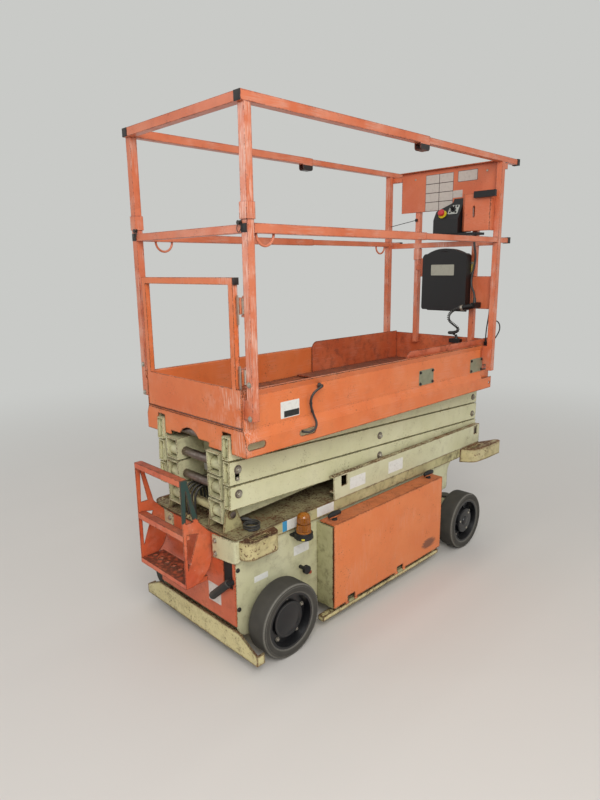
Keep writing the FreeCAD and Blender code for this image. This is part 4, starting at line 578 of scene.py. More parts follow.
def vinyl(name, base, stain, share):
    """Printed-film label with nothing on it: satin, scuffed and stained by what touched it."""
    mat, tree, shader = substance(name, IOR=1.46)
    place = node(tree, "ShaderNodeTexCoord").outputs["Object"]
    smear = node(tree, "ShaderNodeTexNoise", {"Vector": place, "Scale": 1 / 0.014, "Detail": 6.0,
                                              "Roughness": 0.7})
    amount = node(tree, "ShaderNodeMapRange", {"Value": smear.outputs["Fac"], "From Min": 0.45,
                                               "From Max": 0.80, "To Max": share},
                  interpolation_type="SMOOTHSTEP")
    tone = node(tree, "ShaderNodeMix", {0: amount.outputs[0], 6: colour(base), 7: colour(stain)},
                data_type="RGBA")
    shade = node(tree, "ShaderNodeMapRange", {"Value": amount.outputs[0], "To Min": 0.38, "To Max": 0.8})
    tree.links.new(tone.outputs[2], shader.inputs["Base Color"])
    tree.links.new(shade.outputs[0], shader.inputs["Roughness"])
    return mat


white_film = vinyl("white_vinyl_film", "#E6E4DC", "#9A9280", 0.40)
blue_film = vinyl("blue_vinyl_film", "#3F97C4", "#6F7F80", 0.35)
plates("blank_chassis_labels", white_film, "chassis", [
    ((-0.611, -0.290, 0.527), 0.103, 0.046), ((-0.421, -0.290, 0.527), 0.112, 0.044),
    ((-0.194, -0.290, 0.604), 0.115, 0.058), ((0.108, -0.290, 0.606), 0.122, 0.062),
    ((-0.569, -0.280, 0.385), 0.094, 0.044), ((-0.807, -0.280, 0.340), 0.076, 0.027)])
plates("blue_label_end", blue_film, "chassis", [((-0.676, -0.290, 0.527), 0.026, 0.046)],
       corner=0.002)

black_screw = dusty_moulding("black_oxide_screw", "#1B1A19", "#5B5244", 0.45, 2.0, dust_share=0.3)
mesh = bmesh.new()
for z in (0.417, 0.243):
    for side in (1, -1):
        turned(mesh, [(0.0095, 0), (0.0095, 0.002), (0.0085, 0.005), (0.005, 0.0068), (0, 0.007)],
               (-0.930, side * 0.280, z), (0, side, 0), 20)
keep("panel_screws", mesh, black_screw, "chassis")


# Trays, covers and their handles
# The trays are folded 4 mm sheet in cream, dull with battery dust. The covers are folded sheet in
# orange enamel, hung on pins along the bottom, and two moulded T-handles turn a cam behind each.
tray_cream = worn_enamel("cream_enamel_in_tray", "#A9A579", "#BDB88C", chips=0.9, soil=0.8,
                         rough=0.6, soil_and_shade_hex="#6A6440", low=0.4)
dress(tray_cream, "trays")
SCUFF_X, SCUFF_Z = 0.287, 0.146


def tyre_scuff(tree, place):
    """Black rub low on the right cover's front end, where the wheel's full lock brushes it."""
    at = node(tree, "ShaderNodeSeparateXYZ", {0: place})
    # distance from the rub's middle, which is 70 mm long and 30 mm high each way
    around = node(tree, "ShaderNodeMapping", {
        "Vector": place, "Location": (-SCUFF_X * 15, 0.0, -SCUFF_Z * 34), "Scale": (15, 0, 34)})
    reach = node(tree, "ShaderNodeVectorMath", {0: around.outputs[0]}, operation="LENGTH")
    ragged = node(tree, "ShaderNodeTexNoise", {"Vector": node(tree, "ShaderNodeMapping", {
        "Vector": place, "Scale": (40, 40, 300)}).outputs[0], "Scale": 1.0, "Detail": 4.0})
    worn = node(tree, "ShaderNodeMath", {0: ragged.outputs["Fac"], 1: 0.9, 2: reach.outputs["Value"]},
                operation="MULTIPLY_ADD")
    inside = node(tree, "ShaderNodeMapRange", {"Value": worn.outputs[0], "From Min": 1.5, "From Max": 1.1,
                                               "To Max": 0.75})
    right_side = node(tree, "ShaderNodeMath", {0: at.outputs["Y"], 1: 0.0}, operation="LESS_THAN")
    return node(tree, "ShaderNodeMath", {0: inside.outputs[0], 1: right_side.outputs[0]},
                operation="MULTIPLY").outputs[0]


cover_orange = worn_enamel("orange_enamel_on_cover", "#E27A40", "#E6834A", chips=1.35, edge_mm=12, trodden=0.60,
                           speckle=0.3, soil=0.06, soil_and_shade_hex="#8A4E34", scuffs=0.15, chalk=0.07,
                           along=(120, 60, 12), rust=("#4A2A1C", "#8E4A2A"), chip_mm=9, low=0.1, rough=0.38,
                           over=[("#3A302C", tyre_scuff)])
dress(cover_orange, "cover_left", "cover_right")
moulded_case = dusty_moulding("moulded_polypropylene_case", "#1A1A1B", "#5E5A50", 0.55, 2.0)
dress(moulded_case, "tray_contents")
moulded_nylon = dusty_moulding("moulded_glass_nylon", "#0B0C0F", "#45423C", 0.48, 1.2, dust_share=0.16)
# the bar of a T-handle, from its middle to one tip: distance along, half width, bottom and top
HALF_BAR = [(0.010, 0.0128, 0.5062, 0.5340), (0.028, 0.0090, 0.5068, 0.5310), (0.037, 0.0078, 0.5075, 0.5285),
            (0.0400, 0.0040, 0.512, 0.524)]
HANDLE_XS, HANDLE_Y, COVER_TOP = (-0.418, 0.334), 0.342, 0.492
for side, body in ((1, "left_cover"), (-1, "right_cover")):
    mesh = bmesh.new()
    for hx in HANDLE_XS:
        hy = side * HANDLE_Y
        turned(mesh, [(0.0135, 0.0), (0.0135, 0.003), (0.0105, 0.006), (0.0105, 0.0152)], (hx, hy, COVER_TOP),
               (0, 0, 1), 28)
        rings = []
        for reach, half, low_z, high_z in [(-x, *rest) for x, *rest in HALF_BAR[::-1]] + HALF_BAR:
            mid, tall = (low_z + high_z) / 2, (high_z - low_z) / 2
            rings.append([mesh.verts.new((hx + reach, hy + half * math.cos(a), mid + tall * math.sin(a)))
                          for a in (2 * math.pi * j / 16 for j in range(16))])
        skin(mesh, rings)
    keep("t_handles_" + body, mesh, moulded_nylon, body)


# Rear panel, ladder and pothole guard
# The panel and ladder are cut plate in orange enamel, given a darker red-orange that is partly the
# paint's own tone and partly painted shade on these rear faces; one hand has gone over the ladder's near
# plate with dark green paint. The guard under them is cream plate, chipped by kerbs.
# darker base colour: partly the paint's own red-orange, partly painted shade on the rear-facing plates
rear_orange_with_shade = worn_enamel("orange_enamel_on_rear_with_shade", "#C75833", "#D56A42", chips=1.0, trodden=0.5, soil=0.25,
                          soil_and_shade_hex="#6E3A28", scuffs=0.35, low=0.15, rough=0.34)
dress(rear_orange_with_shade, "rear_panel")


def green_patch(tree, place):
    """Where the green paint lies: the near plate, above a brushed edge."""
    at = node(tree, "ShaderNodeSeparateXYZ", {0: place})
    brush = node(tree, "ShaderNodeTexNoise", {"Vector": place, "Scale": 1 / 0.02, "Detail": 4.0})
    wave = node(tree, "ShaderNodeMath", {0: brush.outputs["Fac"], 1: 0.05, 2: at.outputs["Z"]},
                operation="MULTIPLY_ADD")
    high = node(tree, "ShaderNodeMapRange", {"Value": wave.outputs[0], "From Min": 0.638, "From Max": 0.644})
    near = node(tree, "ShaderNodeMapRange", {"Value": at.outputs["Y"], "From Min": -0.124, "From Max": -0.127})
    return node(tree, "ShaderNodeMath", {0: high.outputs[0], 1: near.outputs[0]}, operation="MULTIPLY").outputs[0]


def step_rust(tree, place):
    """Where boots have taken the paint off: the step and the edges of the rungs' tops."""
    at = node(tree, "ShaderNodeSeparateXYZ", {0: place})
    facing = node(tree, "ShaderNodeSeparateXYZ", {0: node(tree, "ShaderNodeNewGeometry").outputs["Normal"]})
    flat = node(tree, "ShaderNodeMapRange", {"Value": facing.outputs["Z"], "From Min": 0.8, "From Max": 0.95})
    low = node(tree, "ShaderNodeMapRange", {"Value": at.outputs["Z"], "From Min": 0.40, "From Max": 0.39,
                                            "To Min": 0.3, "To Max": 0.95})
    patch = node(tree, "ShaderNodeTexNoise", {"Vector": place, "Scale": 1 / 0.018, "Detail": 5.0})
    patch = node(tree, "ShaderNodeMapRange", {"Value": patch.outputs["Fac"], "From Min": 0.35, "From Max": 0.55})
    mask = node(tree, "ShaderNodeMath", {0: flat.outputs[0], 1: low.outputs[0]}, operation="MULTIPLY")
    return node(tree, "ShaderNodeMath", {0: mask.outputs[0], 1: patch.outputs[0]}, operation="MULTIPLY").outputs[0]


ladder_orange_with_shade = worn_enamel("orange_enamel_on_ladder_with_shade", "#CC5734", "#DC7148", chips=1.35, trodden=0.55, speckle=0.35,
                            soil=0.35, soil_and_shade_hex="#5E3524", scuffs=0.2, chalk=0.1, along=(40, 40, 40), rough=0.36,
                            over=[("#5A3022", step_rust), ("#27423C", green_patch)])
dress(ladder_orange_with_shade, "ladder")
guard_cream = worn_enamel("cream_enamel_on_guard", "#CFC189", "#D8CC98", chips=1.9, edge_mm=16, trodden=0.4,
                          speckle=0.6, flaked=0.065, soil=0.35, scuffs=0.3, chip_mm=10,
                          rust=("#2C1A0C", "#6E4423"))
dress(guard_cream, "pothole_guards")
dress(moulded_nylon, "chassis_fittings")
rear_film = vinyl("worn_white_film", "#D6CFC6", "#9C5B45", 0.75)
plates("blank_rear_label", rear_film, "chassis", [((-0.946, -0.140, 0.268), 0.085, 0.085)],
       across=FACING_REAR)

# behind the panel's opening stands a black sheet, painted shade for the dark inside of the opening, and the brake
# lever wears a ribbed rubber grip
SHADE_SHEET_Y, SHADE_SHEET_Z = (-0.2652, -0.2068), (0.3308, 0.4912)
mesh = bmesh.new()
rings = []
for inset, x in ((0.0, -0.9412), (0.0, -0.9424), (0.002, -0.9428)):
    (y0, y1), (z0, z1) = (SHADE_SHEET_Y[0] + inset, SHADE_SHEET_Y[1] - inset), (SHADE_SHEET_Z[0] + inset, SHADE_SHEET_Z[1] - inset)
    rings.append([mesh.verts.new((x, y, z)) for y, z in ((y0, z0), (y1, z0), (y1, z1), (y0, z1))])
skin(mesh, rings)
shade_sheet = dusty_moulding("black_shade_sheet", "#0D0C0C", "#3A3630", 0.7, 3.0, dust_share=0.35)
keep("opening_shade_sheet", mesh, shade_sheet, "chassis", sharp=20)
lever_root, lever_tip = Vector((-0.962, -0.272, 0.376)), Vector((-0.986, -0.176, 0.286))
grip_way = (lever_tip - lever_root).normalized()
RIB_PITCH = 0.0105
grip = [(0.0125, 0.012), (0.0165, 0.014)]
for k in range(9):
    grip += [(0.0172, 0.020 + RIB_PITCH * k), (0.0160, 0.0235 + RIB_PITCH * k)]
grip += [(0.0168, 0.118), (0.0172, 0.126), (0.0150, 0.1335), (0.0, 0.135)]
mesh = bmesh.new()
turned(mesh, grip, lever_root, grip_way, 28)
keep("lever_grip", mesh, wrapped_rubber, "chassis")

# the step's teeth: each hole is pressed up into a toothed collar, and its tips have rusted
rust_steel = clouded("rusted_step_steel", "#3A2A22", "#8C5A40", 5, detail=5.0, Metallic=0.2, Roughness=0.85)
STEP_X, STEP_FROM_Y, STEP_WIDTH, STEP_TOP, HOLES, TEETH = -1.025, -0.127, 0.338, 0.354, 7, 24
mesh = bmesh.new()
for k in range(HOLES):
    hy = STEP_FROM_Y + (k + 0.5) * STEP_WIDTH / HOLES
    rings = []
    for radius, tall in ((0.0150, (0.0, 0.0)), (0.0125, (0.0060, 0.0030))):
        rings.append([mesh.verts.new((STEP_X + radius * math.cos(math.pi * j / TEETH),
                                      hy + radius * math.sin(math.pi * j / TEETH),
                                      STEP_TOP + tall[j % 4 // 2])) for j in range(TEETH * 2)])
    skin(mesh, rings, caps=0)
keep("step_teeth", mesh, rust_steel, "chassis", sharp=10)


# Tie-down eyes and their corner straps
# Bent 10 mm plate, welded along the deck; the rear pair is carried round the corner by a bolted strap.
# Hooks and chains have worn the paint off the bulge and let it rust.
eye_cream = worn_enamel("cream_enamel_on_tie_down", "#C2B27C", "#CFC294", chips=1.9, edge_mm=18, trodden=0.5,
                        speckle=0.9, flaked=0.070, soil=0.4, scuffs=0.3, chip_mm=11, rust=("#301B10", "#7A4C2A"))
dress(eye_cream, "tie_downs")
# the strap's bend, seen from above: outer x and y, inner x and y, bottom and top
STRAP = [(-0.952, 0.146, -0.946, 0.146, 0.438, 0.538), (-0.952, 0.278, -0.946, 0.276, 0.452, 0.549),
         (-0.950, 0.288, -0.9455, 0.284, 0.454, 0.550), (-0.944, 0.2945, -0.942, 0.2895, 0.455, 0.550),
         (-0.936, 0.297, -0.936, 0.291, 0.456, 0.550), (-0.905, 0.297, -0.905, 0.291, 0.470, 0.548)]
for side, word in ((1, "left"), (-1, "right")):
    mesh = bmesh.new()
    skin(mesh, [[mesh.verts.new(v) for v in ((ox, side * oy, z0), (ox, side * oy, z1), (ix, side * iy, z1),
                                             (ix, side * iy, z0))] for ox, oy, ix, iy, z0, z1 in STRAP])
    keep("corner_strap_" + word, mesh, chassis_cream, "chassis", sharp=25)
    mesh = bmesh.new()
    for z in (0.517, 0.459):
        hex_bolt(mesh, (-0.952, side * 0.166, z), (-1, 0, 0), 0.014, 0.012)
    keep("strap_bolts_" + word, mesh, zinc, "chassis", sharp=20)


# Beacon
# Two-tier amber polycarbonate dome, moulded with upright prisms, on a black rubber-footed base.
# The lamp stays dark; the prisms catch the room's light, and painted shade deepens the colour between them.
amber, tree, shader = substance("moulded_amber_polycarbonate", IOR=1.58, Roughness=0.10,
                                Transmission_Weight=0.25)
place = node(tree, "ShaderNodeTexCoord").outputs["Object"]
grime = node(tree, "ShaderNodeTexNoise", {"Vector": place, "Scale": 1 / 0.02, "Detail": 4.0})
body_tone = node(tree, "ShaderNodeMix", {0: grime.outputs["Fac"], 6: colour("#C87808"), 7: colour("#8A4A04")},
                 data_type="RGBA")
# painted shade: where ambient occlusion finds the flutes between the prisms, the amber is coloured darker
depth = node(tree, "ShaderNodeAmbientOcclusion", {"Distance": 0.006}, samples=6)
flute_shade = node(tree, "ShaderNodeMapRange", {"Value": depth.outputs["AO"], "From Min": 0.95, "From Max": 0.55})
tone = node(tree, "ShaderNodeMix", {0: flute_shade.outputs[0], 6: body_tone.outputs[2], 7: colour("#6A3204")},
            data_type="RGBA")
tree.links.new(tone.outputs[2], shader.inputs["Base Color"])
BEACON_X, BEACON_Y, PRISMS, PRISM_DEPTH = -0.610, -0.338, 28, 0.0026
# radius, height, and whether the prisms run through there
DOME = [(0.0330, 0.4945, 0), (0.0330, 0.5030, 0), (0.0318, 0.5045, 1), (0.0312, 0.5330, 1), (0.0300, 0.5355, 0),
        (0.0262, 0.5370, 0), (0.0262, 0.5400, 0), (0.0295, 0.5415, 0), (0.0300, 0.5435, 1), (0.0290, 0.5640, 1),
        (0.0278, 0.5690, 0), (0.0245, 0.5750, 0), (0.0170, 0.5805, 0), (0.0080, 0.5835, 0), (0.0020, 0.5845, 0)]
mesh = bmesh.new()
rings = []
for radius, z, ribbed in DOME:
    rings.append([mesh.verts.new((BEACON_X + r * math.cos(a), BEACON_Y + r * math.sin(a), z))
                  for r, a in ((radius - PRISM_DEPTH * ribbed * (j % 2), math.pi * j / PRISMS)
                               for j in range(2 * PRISMS))])
skin(mesh, rings)
dome = keep("beacon_dome", mesh, amber, "chassis", sharp=12)
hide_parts("beacon_lens")
# flared rubber foot with a moulded skirt, and a small blank plate riveted on its front
mesh = bmesh.new()
turned(mesh, [(0.0405, 0.4690), (0.0425, 0.4720), (0.0425, 0.4760), (0.0400, 0.4790), (0.0362, 0.4815),
              (0.0362, 0.4870), (0.0385, 0.4885), (0.0385, 0.4930), (0.0365, 0.4955), (0.0332, 0.4960)],
       (BEACON_X, BEACON_Y, 0), (0, 0, 1), 12)
keep("beacon_foot", mesh, moulded_nylon, "chassis", sharp=25)
yellow_foil = vinyl("yellow_foil_label", "#D2BE3C", "#7E7238", 0.5)
foot_way = Vector((-0.76, -0.65, 0)).normalized()
plates("blank_foot_label", yellow_foil, "chassis",
       [(Vector((BEACON_X, BEACON_Y, 0.4765)) + foot_way * 0.0405, 0.014, 0.008)],
       across=foot_way.cross(Vector((0, 0, -1))), corner=0.001, thick=0.0012)

# the brake release knob's red tag, a moulded strap that hangs from its stem
red_nylon = dusty_moulding("moulded_red_nylon", "#B23524", "#8A5A48", 0.45, 1.5, dust_share=0.3)
TAG_THICK = 0.0022
mesh = bmesh.new()
rings = []
for x, y, z, half in ((-0.574, -0.298, 0.292, 0.0040), (-0.566, -0.307, 0.281, 0.0045),
                      (-0.552, -0.310, 0.272, 0.0060), (-0.538, -0.306, 0.266, 0.0075),
                      (-0.527, -0.300, 0.262, 0.0070), (-0.520, -0.296, 0.260, 0.0040)):
    rings.append([mesh.verts.new(v) for v in ((x, y, z + half), (x, y + TAG_THICK, z + half),
                                              (x, y + TAG_THICK, z - half), (x, y, z - half))])
skin(mesh, rings)
keep("release_tag", mesh, red_nylon, "chassis")


# Scissor stack
# Rolled rectangular steel tube in cream enamel, one frame inside the next. Each pivot is a bare steel
# shaft, kept by a washered bolt; grease and dust have turned the shafts brown.
arm_cream = worn_enamel("cream_enamel_on_arm", "#CFCBA0", "#D9D5AE", chips=1.3, flaked=0.02, trodden=0.3,
                        soil=0.1, scuffs=0.15, rough=0.34, rust=("#453020", "#8B7A3E"), chip_mm=8)
frame_cream = worn_enamel("cream_enamel_on_inner_arm", "#C3BF96", "#CFCBA4", chips=1.1, trodden=0.4, soil=0.5,
                          rough=0.45, soil_and_shade_hex="#655D3E")
shaft_steel = clouded("turned_steel_shaft", "#9A918A", "#5C4A40", 20, detail=5.0, rough=(0.25, 0.65),
                      Metallic=1.0)
cast_nylon = clouded("machined_cast_nylon", "#B8AE92", "#857A60", 12, IOR=1.53, Roughness=0.5)
dress(cast_nylon, "base_rollers", "top_rollers")

LOWEST_PIN, PIN_STEP, REAR_X, MID_X, FRONT_X, ARM_FACE, WASHER = 0.624, 0.102, -0.890, 0.0175, 0.925, 0.254, 0.003
for n in (1, 2, 3):
    dress(frame_cream, "inner_arms_%d" % n)
    dress(arm_cream, "outer_arms_%d" % n)
    dress(shaft_steel, "arm_pins_%d" % n)
    low = LOWEST_PIN + PIN_STEP * (n - 1)
    # the lowest front and the highest rear pins are rollers' and hangers', with no washers outside
    pins = [(REAR_X, low + PIN_STEP)] * (n < 3) + [(MID_X, low + PIN_STEP / 2)] + [(FRONT_X, low)] * (n > 1)
    heads = bmesh.new()
    tabs = bmesh.new()
    for side in (1, -1):
        face = side * ARM_FACE
        for x, z in pins:
            turned(tabs, [(0.0, 0), (0.0180, 0), (0.0180, 0.0022), (0.0165, WASHER), (0.0, WASHER)],
                   (x, face, z), (0, side, 0), 32)
            hex_bolt(heads, (x, face + side * WASHER, z), (0, side, 0), 0.017, 0.0125)
        if n == 2:
            # the middle rear pin is kept from turning by a tab with a bolt of its own
            rounded_plate(tabs, (REAR_X - 0.004, face, low + PIN_STEP - 0.018), (-1, 0, 0), (0, 0, 1),
                          0.022, 0.058, 0.010, 0.0032)
            hex_bolt(heads, (REAR_X - 0.005, face + side * WASHER, low + PIN_STEP - 0.036), (0, side, 0),
                     0.011, 0.0085)
    keep("keeper_washers_%d" % n, tabs, shaft_steel, "outer_frame_%d" % n)
    keep("keeper_bolts_%d" % n, heads, zinc, "outer_frame_%d" % n, sharp=20)

plates("blank_beam_label", white_film, "inner_frame_2", [((-0.7957, 0.106, 0.7445), 0.100, 0.050)],
       across=FACING_REAR, up=(-0.04, 0, 0.9992))
# round caps on the ends of the shaft that joins the lowest arms to the base lugs
mesh = bmesh.new()
for side in (1, -1):
    turned(mesh, [(0.0, 0), (0.0145, 0), (0.0145, 0.003), (0.0120, 0.0045), (0, 0.005)],
           (REAR_X, side * 0.212, LOWEST_PIN), (0, side, 0), 28)
keep("base_shaft_caps", mesh, shaft_steel, "chassis")


# Lift cylinder
# Honed tube in black paint with a screwed gland, and a hard-chromed rod that stays bright where the
# wiper cleans it.
chrome = clouded("hard_chromed_rod", "#C8C8C6", "#8E8A84", 30, detail=3.0, rough=(0.08, 0.35), Metallic=1.0)
dress(chrome, "cylinder_rod")


# Platform
# Folded 4 mm sheet in orange enamel. The floor is rolled tread plate whose paint is trodden away, so
# dirt and bare steel show between the bars; rainwater and boots have rusted the fold lines.
def tread(tree, place):
    """Mask of the trodden floor plate: faces that look up, below the toe boards."""
    at = node(tree, "ShaderNodeSeparateXYZ", {0: place})
    facing = node(tree, "ShaderNodeSeparateXYZ", {0: node(tree, "ShaderNodeNewGeometry").outputs["Normal"]})
    flat = node(tree, "ShaderNodeMapRange", {"Value": facing.outputs["Z"], "From Min": 0.9, "From Max": 0.95})
    low = node(tree, "ShaderNodeMapRange", {"Value": at.outputs["Z"], "From Min": 1.03, "From Max": 1.025})
    mask = node(tree, "ShaderNodeMath", {0: flat.outputs[0], 1: low.outputs[0]}, operation="MULTIPLY")
    dirt = node(tree, "ShaderNodeTexNoise", {"Vector": place, "Scale": 1 / 0.05, "Detail": 6.0, "Roughness": 0.7})
    worn = node(tree, "ShaderNodeMapRange", {"Value": dirt.outputs["Fac"], "From Min": 0.35, "From Max": 0.6,
                                             "To Min": 0.55, "To Max": 1.0})
    return node(tree, "ShaderNodeMath", {0: mask.outputs[0], 1: worn.outputs[0]}, operation="MULTIPLY").outputs[0]


def rear_corner_highlight(tree, place):
    """Painted highlight: upright pale streaks on the right rear corner, where the gloss would catch the light."""
    at = node(tree, "ShaderNodeSeparateXYZ", {0: place})
    rear = node(tree, "ShaderNodeMapRange", {"Value": at.outputs["X"], "From Min": -0.84, "From Max": -0.90})
    right = node(tree, "ShaderNodeMapRange", {"Value": at.outputs["Y"], "From Min": -0.10, "From Max": -0.31})
    streak = node(tree, "ShaderNodeTexNoise", {"Vector": node(tree, "ShaderNodeMapping", {
        "Vector": place, "Scale": (260, 260, 16)}).outputs[0], "Scale": 1.0, "Detail": 4.0})
    streak = node(tree, "ShaderNodeMapRange", {"Value": streak.outputs["Fac"], "From Min": 0.45, "From Max": 0.60,
                                               "To Max": 0.8})
    patch = node(tree, "ShaderNodeTexNoise", {"Vector": place, "Scale": 1 / 0.07, "Detail": 3.0})
    patch = node(tree, "ShaderNodeMapRange", {"Value": patch.outputs["Fac"], "From Min": 0.42, "From Max": 0.56})
    mask = node(tree, "ShaderNodeMath", {0: rear.outputs[0], 1: right.outputs[0]}, operation="MULTIPLY")
    mask = node(tree, "ShaderNodeMath", {0: mask.outputs[0], 1: patch.outputs[0]}, operation="MULTIPLY")
    return node(tree, "ShaderNodeMath", {0: mask.outputs[0], 1: streak.outputs[0]}, operation="MULTIPLY").outputs[0]


# the pale streaks on the right rear corner are a painted highlight
platform_orange = worn_enamel("orange_enamel_on_platform", "#E0733A", "#E57F48", chips=1.35, edge_mm=10, trodden=0.35,
                              speckle=0.3, soil=0.10, soil_and_shade_hex="#7E4A36", scuffs=0.2, chalk=0.10, rough=0.36,
                              over=[("#6B4A38", tread), ("#EBBBA6", rear_corner_highlight)])
dress(platform_orange, "platform_deck")
dress(rail_cream, "platform_channels")
deck_orange = worn_enamel("orange_enamel_on_roll_out_deck", "#BC5630", "#CE6A40", chips=1.2, trodden=0.45,
                          speckle=0.3, soil=0.55, scuffs=0.3, chalk=0.1, soil_and_shade_hex="#6E3626",
                          over=[("#6B4A38", tread)])
dress(deck_orange, "roll_out_deck")

# raised bars of the floor plates: pressed diamonds 25 mm long, in rows that alternate in direction
bar_steel = worn_enamel("trodden_tread_bar", "#8A5A40", "#A86A48", chips=1.5, speckle=1.0, soil=0.5,
                        soil_and_shade_hex="#4A3A2E")


BAR_PITCH, BAR_REACH, BAR_HALF, BAR_TALL, BAR_RIDGE = 0.034, 0.0125, 0.0032, 0.0014, 0.006


def tread_bars(name, x0, x1, half, z, body):
    """The bars of one floor, each a low hipped diamond of four corners and a ridge."""
    mesh = bmesh.new()
    for i in range(int((x1 - x0) / BAR_PITCH)):
        for j in range(int(2 * half / BAR_PITCH)):
            middle = Vector((x0 + (i + 0.5) * BAR_PITCH, -half + (j + 0.5) * BAR_PITCH, z))
            a = math.radians(45 if (i + j) % 2 else -45)
            along, across = Vector((math.cos(a), math.sin(a), 0)), Vector((-math.sin(a), math.cos(a), 0))
            front, left, back, right_side, ridge_front, ridge_back = [
                mesh.verts.new(middle + along * u + across * v + Vector((0, 0, rise)))
                for u, v, rise in ((BAR_REACH, 0, 0), (0, BAR_HALF, 0), (-BAR_REACH, 0, 0), (0, -BAR_HALF, 0),
                                   (BAR_RIDGE, 0, BAR_TALL), (-BAR_RIDGE, 0, BAR_TALL))]
            for corners in ((front, left, ridge_front), (right_side, front, ridge_front),
                            (left, back, ridge_back), (back, right_side, ridge_back),
                            (left, ridge_back, ridge_front), (right_side, ridge_front, ridge_back)):
                mesh.faces.new(corners)
    keep(name, mesh, bar_steel, body, sharp=20)


tread_bars("platform_tread_bars", -0.915, 0.005, 0.325, 1.008, "platform")
tread_bars("roll_out_tread_bars", 0.015, 0.925, 0.315, 1.019, "extension")

# tag plates: 1.5 mm aluminium, blank, held by four small bolts each, gone grey green
tag_metal = clouded("weathered_aluminium_tag", "#A9A68C", "#8A8A72", 25, detail=5.0, rough=(0.45, 0.75),
                    Metallic=0.6)
PANEL_FACE, TAG_XS, TAG_Z, TAG_METAL_THICK = -0.335, (0.292, 0.795), 1.047, 0.0016
plates("blank_tag_plates", tag_metal, "platform",
       [((x, PANEL_FACE, TAG_Z), 0.130, 0.078) for x in TAG_XS], corner=0.004, thick=TAG_METAL_THICK)
mesh = bmesh.new()
for x in TAG_XS:
    for dx in (-0.055, 0.055):
        for dz in (-0.029, 0.029):
            hex_bolt(mesh, (x + dx, PANEL_FACE - TAG_METAL_THICK, TAG_Z + dz), (0, -1, 0), 0.0105, 0.0078)
keep("tag_bolts", mesh, black_screw, "platform", sharp=20)
# the label by the side cable: white film with a dark band over its lower half
plates("blank_side_label", white_film, "platform", [((-0.676, PANEL_FACE, 1.050), 0.104, 0.068)])
dark_film = vinyl("dark_vinyl_film", "#22211F", "#6A665C", 0.3)
plates("dark_label_band", dark_film, "platform",
       [((-0.668, PANEL_FACE - 0.0004, 1.032), 0.084, 0.026)], corner=0.002, thick=0.0003)
mesh = bmesh.new()
for side in (-1, 1):
    hex_bolt(mesh, (0.915, side * 0.326, 1.040), (0, side, 0), 0.013, 0.011)
keep("deck_corner_bolts", mesh, zinc, "extension", sharp=20)


# Guard rails, posts and gate
# Square steel tube, welded and painted orange with the rest; the sliding pair runs inside the fixed
# one. Black polyethylene plugs close the tube ends, and sleeves with snap pins let the rails fold.
def guide_block(tree, place):
    """Where the shoes under the top rails are black: the nylon guides that they hold."""
    at = node(tree, "ShaderNodeSeparateXYZ", {0: place})
    below = node(tree, "ShaderNodeMath", {0: at.outputs["Z"], 1: 2.139}, operation="LESS_THAN")
    above = node(tree, "ShaderNodeMath", {0: at.outputs["Z"], 1: 2.095}, operation="GREATER_THAN")
    behind = node(tree, "ShaderNodeMath", {0: at.outputs["X"], 1: 0.180}, operation="LESS_THAN")
    ahead_of = node(tree, "ShaderNodeMath", {0: at.outputs["X"], 1: 0.104}, operation="GREATER_THAN")
    tall = node(tree, "ShaderNodeMath", {0: below.outputs[0], 1: above.outputs[0]}, operation="MULTIPLY")
    long = node(tree, "ShaderNodeMath", {0: behind.outputs[0], 1: ahead_of.outputs[0]}, operation="MULTIPLY")
    return node(tree, "ShaderNodeMath", {0: tall.outputs[0], 1: long.outputs[0]}, operation="MULTIPLY").outputs[0]


rail_orange = worn_enamel("orange_enamel_on_rail", "#D0693F", "#DA7E5A", chips=1.25, edge_mm=7, trodden=0.25,
                          speckle=0.15, soil=0.15, soil_and_shade_hex="#7A4030", scuffs=0.25, chalk=0.22,
                          along=(12, 230, 230), rust=("#52302A", "#8E4C3C"), chip_mm=6, rough=0.30,
                          over=[("#1E1A19", guide_block)])
# the pale streaks on the right rear corner are a painted highlight
post_orange = worn_enamel("orange_enamel_on_post", "#D0693F", "#DA7E5A", chips=1.0, edge_mm=7, trodden=0.2,
                          speckle=0.15, soil=0.15, soil_and_shade_hex="#7A4030", scuffs=0.40, chalk=0.40,
                          along=(230, 230, 12), rust=("#52302A", "#8E4C3C"), chip_mm=6, rough=0.22,
                          over=[("#EBBBA6", rear_corner_highlight)])
dress(rail_orange, "top_rails", "mid_rails", "sliding_rails")
dress(post_orange, "rear_posts", "front_frame")
# the pale streaks on the right rear corner are a painted highlight
gate_orange = worn_enamel("orange_enamel_on_gate", "#DA6C36", "#DF7844", chips=1.3, trodden=0.3, soil=0.08,
                          soil_and_shade_hex="#7A4030", scuffs=0.2, chalk=0.08, along=(60, 60, 30), rough=0.34,
                          over=[("#EBBBA6", rear_corner_highlight)])
dress(gate_orange, "gate")
polyethylene = dusty_moulding("moulded_polyethylene_plug", "#1D1C1D", "#5D5750", 0.5, 1.5)


def square_plug(mesh, centre, out, profile, caps=2):
    """Square plug of (half width, depth) steps, as it stands proud of a tube's end."""
    centre, out = Vector(centre), Vector(out)
    a = Vector((0, 1, 0)) if abs(out.x) > 0.5 else Vector((1, 0, 0))
    b = Vector((0, 0, 1))
    skin(mesh, [[mesh.verts.new(centre + a * sx * half + b * sz * half + out * depth)
                 for sx, sz in ((1, 1), (-1, 1), (-1, -1), (1, -1))] for half, depth in profile], caps)


def chamfered(side):
    return [(side / 2, 0.0), (side / 2, 0.0025), (side / 2 - 0.0025, 0.0040)]


RAIL_Y, TOP_Z, MID_Z = 0.370, 2.159, 1.739
mesh = bmesh.new()
for side in (1, -1):
    square_plug(mesh, (-0.927, side * RAIL_Y, TOP_Z), (-1, 0, 0), chamfered(0.034))
    square_plug(mesh, (-0.915, side * RAIL_Y, MID_Z), (-1, 0, 0), chamfered(0.030))
keep("fixed_rail_plugs", mesh, polyethylene, "platform")
